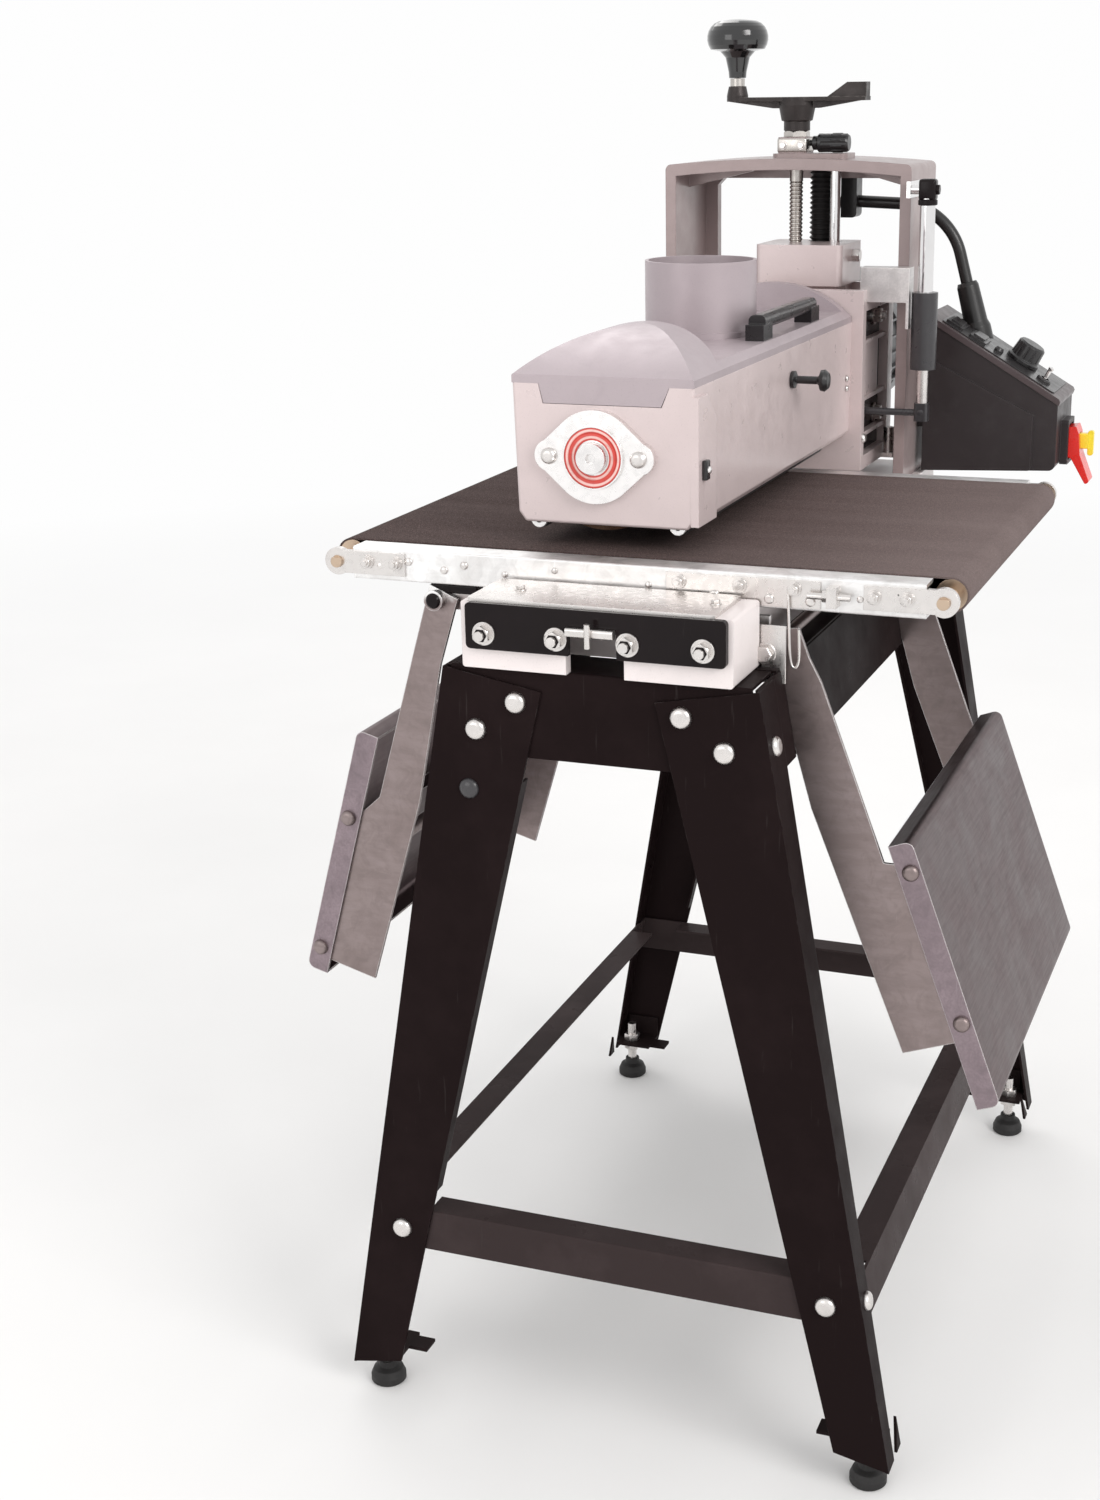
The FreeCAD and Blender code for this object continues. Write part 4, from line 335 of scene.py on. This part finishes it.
SILVER = (0.63, 0.53, 0.525)
DARKEN_BELOW_Z = rail_low[2] - 0.012      # the table's zinc, below this height, is set darker than the bed rails
finishes = {
    "stand_black": powder_coat("finish_stand_black", (0.0125, 0.0078, 0.008), 0.34),
    "foot_black": powder_coat("finish_foot_black", (0.016, 0.011, 0.011), 0.45),
    "pad_rubber": moulded("finish_pad_rubber", (0.009, 0.008, 0.008), 0.6, 0.5, 900.0),
    "zinc_fasteners": turned_metal("finish_zinc_fasteners", (0.74, 0.71, 0.69), 0.26, 700.0, 0.25),
    "base_paint": enamel("finish_base_paint", (0.8, 0.73, 0.72), 0.36, 0.35, 0.3),
    "plate_black": powder_coat("finish_plate_black", (0.009, 0.006, 0.0065), 0.18, 0.15, 1.25),
    # belt cloth: the last pair sets where the painted sheen on the belt begins and where it is full, at the
    # rails' low-Y end
    "belt_cloth": abrasive("finish_belt_cloth", (0.092, 0.065, 0.061), 1500.0, (0.9, 0.08, 1.0), 0.08,
                           (0.42, 0.34, 0.33), (AXIS_Y - 0.04, rail_low[1])),
    "platen_steel": turned_metal("finish_platen_steel", (0.42, 0.4, 0.38), 0.35, 300.0, 0.4, "Y"),
    # last tuple: height, darker tone below it, and a lighter painted-light tone for faces along X
    "zinc_sheet": zinc_plate("finish_zinc_sheet", (0.98, 0.96, 0.945), 0.36, (1.0, 0.06, 0.3), 0.7,
                             (DARKEN_BELOW_Z, (0.3, 0.245, 0.24), (0.34, 0.28, 0.275))),
    "roller_steel": turned_metal("finish_roller_steel", (0.58, 0.45, 0.34), 0.3, 800.0, 0.5),
    "gear_grey": moulded("finish_gear_grey", (0.03, 0.028, 0.031), 0.3, 0.25, 900.0, 0.25),
    "chrome_rod": turned_metal("finish_chrome_rod", (0.8, 0.79, 0.79), 0.09, 500.0, 0.15, "Z"),
    "bellows_rubber": moulded("finish_bellows_rubber", (0.01, 0.009, 0.009), 0.45, 0.3),
    # frame paint: set darker than the head's silver to match the shaded arch posts, so its tone is partly
    # painted shade
    "frame_paint": enamel("finish_frame_paint", (0.32, 0.25, 0.245), 0.36, 0.45, 0.5, 0.25, 0.2),
    "head_paint": enamel("finish_head_paint", SILVER, 0.32, 0.22, 0.4, 0.3, 0.15),
    "cover_paint": enamel("finish_cover_paint", (0.425, 0.362, 0.382), 0.38, 0.1, 0.0, 0.04, 0.3),
    "crank_iron": rough_casting("finish_crank_iron", (0.035, 0.029, 0.028), 0.4),
    "screw_steel": turned_metal("finish_screw_steel", (0.56, 0.53, 0.5), 0.25, 900.0, 0.4, "Z"),
    "knob_plastic": moulded("finish_knob_plastic", (0.004, 0.004, 0.0045), 0.1, 0.02, 300.0, 0.8),
    "lever_plastic": moulded("finish_lever_plastic", (0.009, 0.008, 0.009), 0.32, 0.2, 1200.0, 0.2),
    "seal_red": ringed_seal("finish_seal_red", (0.62, 0.06, 0.045), (0.85, 0.56, 0.52), (AXIS_Y, AXIS_Z),
                            0.0052),
    "bearing_steel": turned_metal("finish_bearing_steel", (0.88, 0.86, 0.85), 0.26, 400.0, 0.15),
    # drum wrap: a dark brown abrasive, made darker still as painted shade for the shadow under the head
    "drum_wrap": abrasive("finish_drum_wrap", (0.1, 0.05, 0.032), 2200.0, (0.08, 1.0, 1.0), 0.3,
                          (0.3, 0.22, 0.16)),
    "shaft_steel": turned_metal("finish_shaft_steel", (0.85, 0.83, 0.82), 0.2, 900.0, 0.2),
    "handle_plastic": moulded("finish_handle_plastic", (0.007, 0.006, 0.007), 0.28, 0.2, 1000.0, 0.25),
    "motor_paint": enamel("finish_motor_paint", (0.05, 0.05, 0.053), 0.38, 0.4, 0.3, 0.1),
    "roller_rubber": moulded("finish_roller_rubber", (0.02, 0.018, 0.018), 0.6, 0.4, 800.0),
    # last tuple: height, darker tone below it, and a lighter painted-light tone for faces along X
    "bracket_zinc": zinc_plate("finish_bracket_zinc", (0.88, 0.85, 0.84), 0.32, (0.05, 1.0, 1.0), 0.9,
                               (DARKEN_BELOW_Z, (0.17, 0.13, 0.135), (0.36, 0.3, 0.33))),
    "box_charcoal": moulded("finish_box_charcoal", (0.021, 0.0145, 0.0155), 0.4, 0.5, 800.0),
    "lid_charcoal": moulded("finish_lid_charcoal", (0.066, 0.047, 0.049), 0.36, 0.45, 700.0, 0.1),
    "panel_black": moulded("finish_panel_black", (0.018, 0.016, 0.017), 0.3, 0.25, 900.0, 0.2),
    "toggle_steel": turned_metal("finish_toggle_steel", (0.8, 0.78, 0.77), 0.12, 500.0, 0.1),
    "paddle_red": moulded("finish_paddle_red", (0.72, 0.016, 0.01), 0.25, 0.08, 700.0, 0.4),
    "key_yellow": moulded("finish_key_yellow", (0.85, 0.68, 0.03), 0.28, 0.1, 700.0, 0.3),
    "lead_black": moulded("finish_lead_black", (0.008, 0.007, 0.007), 0.34, 0.25, 500.0, 0.15),
}

# the braces get a lighter black than the stand's legs: painted sheen on the stand's front faces
brace_sheen_black = powder_coat("finish_brace_sheen_black", (0.042, 0.031, 0.031), 0.3)
overrides = {
    "carriage_casting": finishes["head_paint"],      # painted light: the top-lit carriage takes the head's lighter silver rather than the frame paint
    "end_braces": brace_sheen_black,
    "side_braces": brace_sheen_black,
}
for part in frame["record"]["subparts"]:
    node = frame["nodes"][part["node"]]
    finish = overrides.get(part["node"], finishes[part["material_slot"]])
    for material_slot in node.material_slots:
        material_slot.material = finish


# ---- small fittings -----------------------------------------------------------------------------
head_low, head_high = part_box("head_casting")
OPEN_X = drum_low[0] - 0.016          # open face of the head


def at(x, y, z):
    """Millimetres from the drum axis at the head's open face, as a point of the frame in metres."""
    return Vector((OPEN_X + x / 1000, AXIS_Y + y / 1000, AXIS_Z + z / 1000))


def add_piece(name, mesh, body, slot, smooth=True):
    mesh.materials.append(finishes[slot])
    for face in mesh.polygons:
        face.use_smooth = smooth
    obj = bpy.data.objects.new(name, mesh)
    bpy.context.scene.collection.objects.link(obj)
    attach(obj, body)
    return obj


def turned(name, profile, origin, axis, body, slot, sides=48, corner=1.0, sharp=35.0):
    """Solid of revolution from (radius, height) pairs in millimetres.

    corner scales every second point, so below 1 it makes a star.
    """
    bm = bmesh.new()
    rings = []
    for radius, height in profile:
        ring = []
        for i in range(sides):
            a = 2 * math.pi * i / sides
            r = radius * (1.0 if i % 2 == 0 else corner) / 1000
            ring.append(bm.verts.new((r * math.cos(a), r * math.sin(a), height / 1000)))
        rings.append(ring)
    for low, high in zip(rings, rings[1:]):
        for i in range(sides):
            j = (i + 1) % sides
            bm.faces.new((low[i], low[j], high[j], high[i]))
    bm.faces.new(list(reversed(rings[0])))
    bm.faces.new(rings[-1])
    turn = Vector(axis).to_track_quat("Z", "Y").to_matrix().to_4x4()
    bmesh.ops.transform(bm, matrix=Matrix.Translation(origin) @ turn, verts=bm.verts)
    mesh = bpy.data.meshes.new(name)
    bm.to_mesh(mesh)
    bm.free()
    obj = add_piece(name, mesh, body, slot)
    mesh.set_sharp_from_angle(angle=math.radians(sharp))
    return obj


def slab(name, low, high, body, slot, bevel=0.8):
    """Bevelled block between two corners given in millimetres."""
    bm = bmesh.new()
    bmesh.ops.create_cube(bm, size=1.0)
    a, b = at(*low), at(*high)
    size = b - a
    for vert in bm.verts:
        vert.co = (a + b) / 2 + Vector([vert.co[i] * size[i] for i in range(3)])
    bmesh.ops.bevel(bm, geom=bm.edges[:], offset=bevel / 1000, segments=3, profile=0.5, affect="EDGES")
    mesh = bpy.data.meshes.new(name)
    bm.to_mesh(mesh)
    bm.free()
    obj = add_piece(name, mesh, body, slot)
    mesh.set_sharp_from_angle(angle=math.radians(40))
    return obj


def wire(name, points, radius, body, slot):
    curve = bpy.data.curves.new(name, "CURVE")
    curve.dimensions = "3D"
    curve.bevel_depth = radius / 1000
    curve.bevel_resolution = 4
    curve.use_fill_caps = True
    curve.resolution_u = 8
    spline = curve.splines.new("NURBS")
    spline.points.add(len(points) - 1)
    for point, place in zip(spline.points, points):
        point.co = (*at(*place), 1.0)
    spline.use_endpoint_u = True
    spline.order_u = 3
    curve.materials.append(finishes[slot])
    obj = bpy.data.objects.new(name, curve)
    bpy.context.scene.collection.objects.link(obj)
    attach(obj, body)
    return obj


WASHER = [(8.6, 0), (8.6, 1.0), (8.2, 1.4)]
HEX = [(6.2, 0), (6.8, 0.6), (6.8, 4.2), (6.0, 5.0)]
PAN = [(3.4, 0), (3.4, 0.8), (3.0, 1.7), (2.0, 2.3), (0.8, 2.5)]
DISC = [(9.0, 0), (9.2, 0.4), (9.0, 1.6), (7.6, 2.0), (3.2, 1.9), (2.6, 1.2), (0.5, 1.2)]


def scaled(profile, factor):
    return [(r * factor, h * factor) for r, h in profile]


def hex_bolt(name, place, axis, factor, body, slot="zinc_fasteners"):
    turned(name + "_washer", scaled(WASHER, factor), at(*place), axis, body, slot)
    lifted = at(*place) + Vector(axis).normalized() * 0.0014 * factor
    turned(name + "_hex", scaled(HEX, factor), lifted, axis, body, slot, sides=6, sharp=20.0)


def bellows_sleeve():
    """The rod's bellows as a copy of its CAD mesh, attached to the stand in place of the original."""
    node = frame["nodes"]["rod_bellows"]
    sleeve = bpy.data.objects.new("bellows_sleeve", node.data.copy())
    sleeve.matrix_world = node.matrix_world.copy()
    bpy.context.scene.collection.objects.link(sleeve)
    sleeve.data.materials.clear()
    sleeve.data.materials.append(finishes["bellows_rubber"])
    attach(sleeve, "stand")
    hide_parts("rod_bellows")
    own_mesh(sleeve)


def fittings():
    mid_y = (rail_low[1] + rail_high[1]) / 2
    bed_y = (mid_y - AXIS_Y) * 1000
    rail_x = (rail_low[0] - OPEN_X) * 1000
    for name, y in (("infeed", bed_y - 256), ("outfeed", bed_y + 256)):
        turned("roller_end_" + name, DISC, at(rail_x, y, -90), (-1, 0, 0), "stand", "roller_steel")
    for i, y in enumerate((118, 150, 176, 100)):
        turned("rail_screw_left_%d" % i, PAN, at(rail_x, y, -92 + 5 * (i % 2)), (-1, 0, 0), "stand",
               "zinc_fasteners")
    for i, y in enumerate((-214, -232, -262, -60, 20, 64)):
        turned("rail_screw_right_%d" % i, scaled(PAN, 0.8), at(rail_x, y, -86 - 6 * (i % 2)), (-1, 0, 0),
               "stand", "zinc_fasteners")
    wire("hook_wire", [(rail_x - 1, -176, -88), (rail_x - 5, -176, -90), (rail_x - 5, -177, -112),
                       (rail_x - 5, -178, -140), (rail_x - 5, -180, -149), (rail_x - 5, -184, -149),
                       (rail_x - 5, -186, -140), (rail_x - 5, -185, -118)], 1.1, "stand", "zinc_fasteners")
    slab("side_clip", (8, -91.5, -17), (17, -86.9, -1), "head", "lever_plastic", 1.2)
    turned("side_clip_screw", scaled(PAN, 0.9), at(12.5, -91.4, -9), (0, -1, 0), "head", "bearing_steel")
    slab("outfeed_pivot_cap", (-40, 92, -113), (-26, 134, -105), "stand", "plate_black", 1.5)
    turned("outfeed_pivot_end", [(5.5, 0), (6.5, 1), (6.5, 5), (5.0, 6.4), (1.0, 6.8)], at(-44.4, 128, -118),
           (-1, 0, 0), "stand", "plate_black")
    turned("leg_plug", [(8.5, 0), (8.5, 0.8), (7.4, 2.6), (4.5, 4.0), (1.0, 4.5)], at(-114.6, 71, -254),
           (-1, 0, 0), "stand", "gear_grey")
    for i, y in enumerate((-128, 34)):
        hex_bolt("base_bolt_%d" % i, (-84, y, -94), (0, 0, 1), 0.55, "stand")
    for i, y in enumerate((-90.0, -29.5, 29.5, 90.0)):
        # painted shade: a thin black hex sheet laid in each nut pocket stands for the shade in the recess
        turned("base_nut_pocket_shade_%d" % i, [(5.6, 0), (5.6, 0.5), (5.0, 0.7)], at(-132.3, bed_y + y, -121),
               (-1, 0, 0), "stand", "plate_black", sides=6, sharp=20.0)
        turned("base_nut_tip_%d" % i, [(3.2, 0), (3.2, 1.4), (2.6, 2.0), (0.6, 2.1)],
               at(-132.8, bed_y + y, -121), (-1, 0, 0), "stand", "bearing_steel")
    for i, y in enumerate((-9, 10)):
        hex_bolt("screw_bearing_bolt_%d" % i, (573.4, y, 226), (-1, 0, 0), 0.5, "stand")
    turned("gas_spring_top_nut", [(5.0, 0), (5.4, 0.6), (5.4, 4.0), (4.6, 4.6)], at(525, -159.6, 185),
           (0, -1, 0), "stand", "plate_black", sides=6, sharp=20.0)
    turned("gas_spring_collar", [(8.2, 0), (9.6, 0.8), (9.6, 5.0), (8.2, 6.0)], at(525, -152.5, 170),
           (0, 0, 1), "stand", "plate_black")
    turned("gas_spring_ball", [(3.0, 0), (6.2, 1.0), (7.6, 4.0), (7.6, 8.0), (6.4, 11.0), (3.0, 12.2)],
           at(525, -158.6, -33), (0, 1, 0), "head", "gear_grey")
    for i in range(9):
        a = math.radians(40 * i)
        grip = (590 + 8.4 * math.cos(a), -49, 228 + 8.4 * math.sin(a))
        turned("lock_knob_rib_%d" % i, [(0.8, 0), (1.5, 1.0), (1.5, 11.0), (0.8, 12.0)], at(*grip), (0, 1, 0),
               "lock_knob", "lever_plastic", sides=12)
    slab("infeed_pivot_plate", (-47.6, -174, -164), (-46.2, -140, -117), "stand", "zinc_fasteners", 0.6)
    hex_bolt("infeed_pivot_bolt", (-47.6, -157, -140), (-1, 0, 0), 1.05, "stand")
    slab("gas_spring_eye_cap", (517.6, -161.2, 174.4), (532.4, -144, 195.4), "stand", "plate_black", 3.0)
    slab("screw_bearing_cap", (573.3, -14.6, 218.4), (606.7, 16.6, 233.8), "stand", "screw_steel", 2.5)


bellows_sleeve()
fittings()


# ---- studio -------------------------------------------------------------------------------------
def studio():
    backdrop = (0.99, 0.99, 0.99)
    size = 30.0
    mesh = bpy.data.meshes.new("studio_floor")
    corners = [(-size, -size, 0), (size, -size, 0), (size, size, 0), (-size, size, 0)]
    mesh.from_pydata(corners, [], [(0, 1, 2, 3)])
    floor = bpy.data.objects.new("studio_floor", mesh)
    bpy.context.scene.collection.objects.link(floor)
    n = Nodes("studio_floor", 0.0, 0.8, (0.84, 0.835, 0.83))
    n.shader.inputs["Specular IOR Level"].default_value = 0.1
    n.colour(n.mix(n.span(n.noise(3.0, 3.0), 0.3, 0.7), (0.83, 0.825, 0.82), (0.85, 0.845, 0.84)))
    gradient = n.add("ShaderNodeTexGradient", gradient_type="SPHERICAL")
    n.link(n.place((0.24, 0.24, 0.24)), gradient.inputs["Vector"])
    far = n.add("ShaderNodeEmission")
    far.inputs["Color"].default_value = (*backdrop, 1.0)
    far.inputs["Strength"].default_value = 1.0
    blend = n.add("ShaderNodeMixShader")
    n.link(n.span(gradient.outputs["Fac"], 0.0, 0.55), blend.inputs[0])
    n.link(far.outputs[0], blend.inputs[1])
    n.link(n.shader.outputs[0], blend.inputs[2])
    n.link(blend.outputs[0], n.tree.nodes["Material Output"].inputs["Surface"])
    mesh.materials.append(n.material)

    world = bpy.data.worlds.new("studio")
    world.use_nodes = True
    world.node_tree.nodes["Background"].inputs["Color"].default_value = (*backdrop, 1.0)
    world.node_tree.nodes["Background"].inputs["Strength"].default_value = 1.0
    bpy.context.scene.world = world

    def lamp(name, where, towards, power, width, height):
        light = bpy.data.lights.new(name, "AREA")
        light.shape = "RECTANGLE"
        light.size = width
        light.size_y = height
        light.energy = power
        light.color = (1.0, 0.98, 0.965)
        obj = bpy.data.objects.new(name, light)
        bpy.context.scene.collection.objects.link(obj)
        obj.location = where
        aim = Vector(towards) - Vector(where)
        obj.rotation_euler = aim.to_track_quat("-Z", "Y").to_euler()

    lamp("key_light", (-1.9, -2.9, 2.6), (0, 0, 0.8), 62, 1.8, 1.4)
    lamp("fill_light", (-3.0, 1.2, 1.6), (0, 0, 0.8), 12, 1.6, 1.6)
    lamp("rim_light", (1.6, 1.4, 2.8), (0, 0, 0.9), 12, 1.6, 1.2)


def camera():
    azimuth = math.radians(-69.59)
    elevation = math.radians(17.66)
    roll = math.radians(-0.77)
    focal_share = 1.3834          # focal length over the frame's long side
    data = bpy.data.cameras.new("camera")
    data.sensor_fit = "AUTO"
    data.sensor_width = 36.0
    data.lens = focal_share * data.sensor_width
    data.shift_x = -0.0483
    data.shift_y = 0.001
    data.clip_end = 60.0
    obj = bpy.data.objects.new("camera", data)
    bpy.context.scene.collection.objects.link(obj)
    obj.location = (-1.9073, -0.5549, 1.1295)
    back = Vector((math.sin(azimuth) * math.cos(elevation), -math.cos(azimuth) * math.cos(elevation),
                   math.sin(elevation)))
    turn = (-back).to_track_quat("-Z", "Y").to_matrix() @ Matrix.Rotation(roll, 3, "Z")
    obj.rotation_mode = "QUATERNION"
    obj.rotation_quaternion = turn.to_quaternion()
    bpy.context.scene.camera = obj


studio()
camera()
bpy.context.scene.view_settings.view_transform = "Standard"
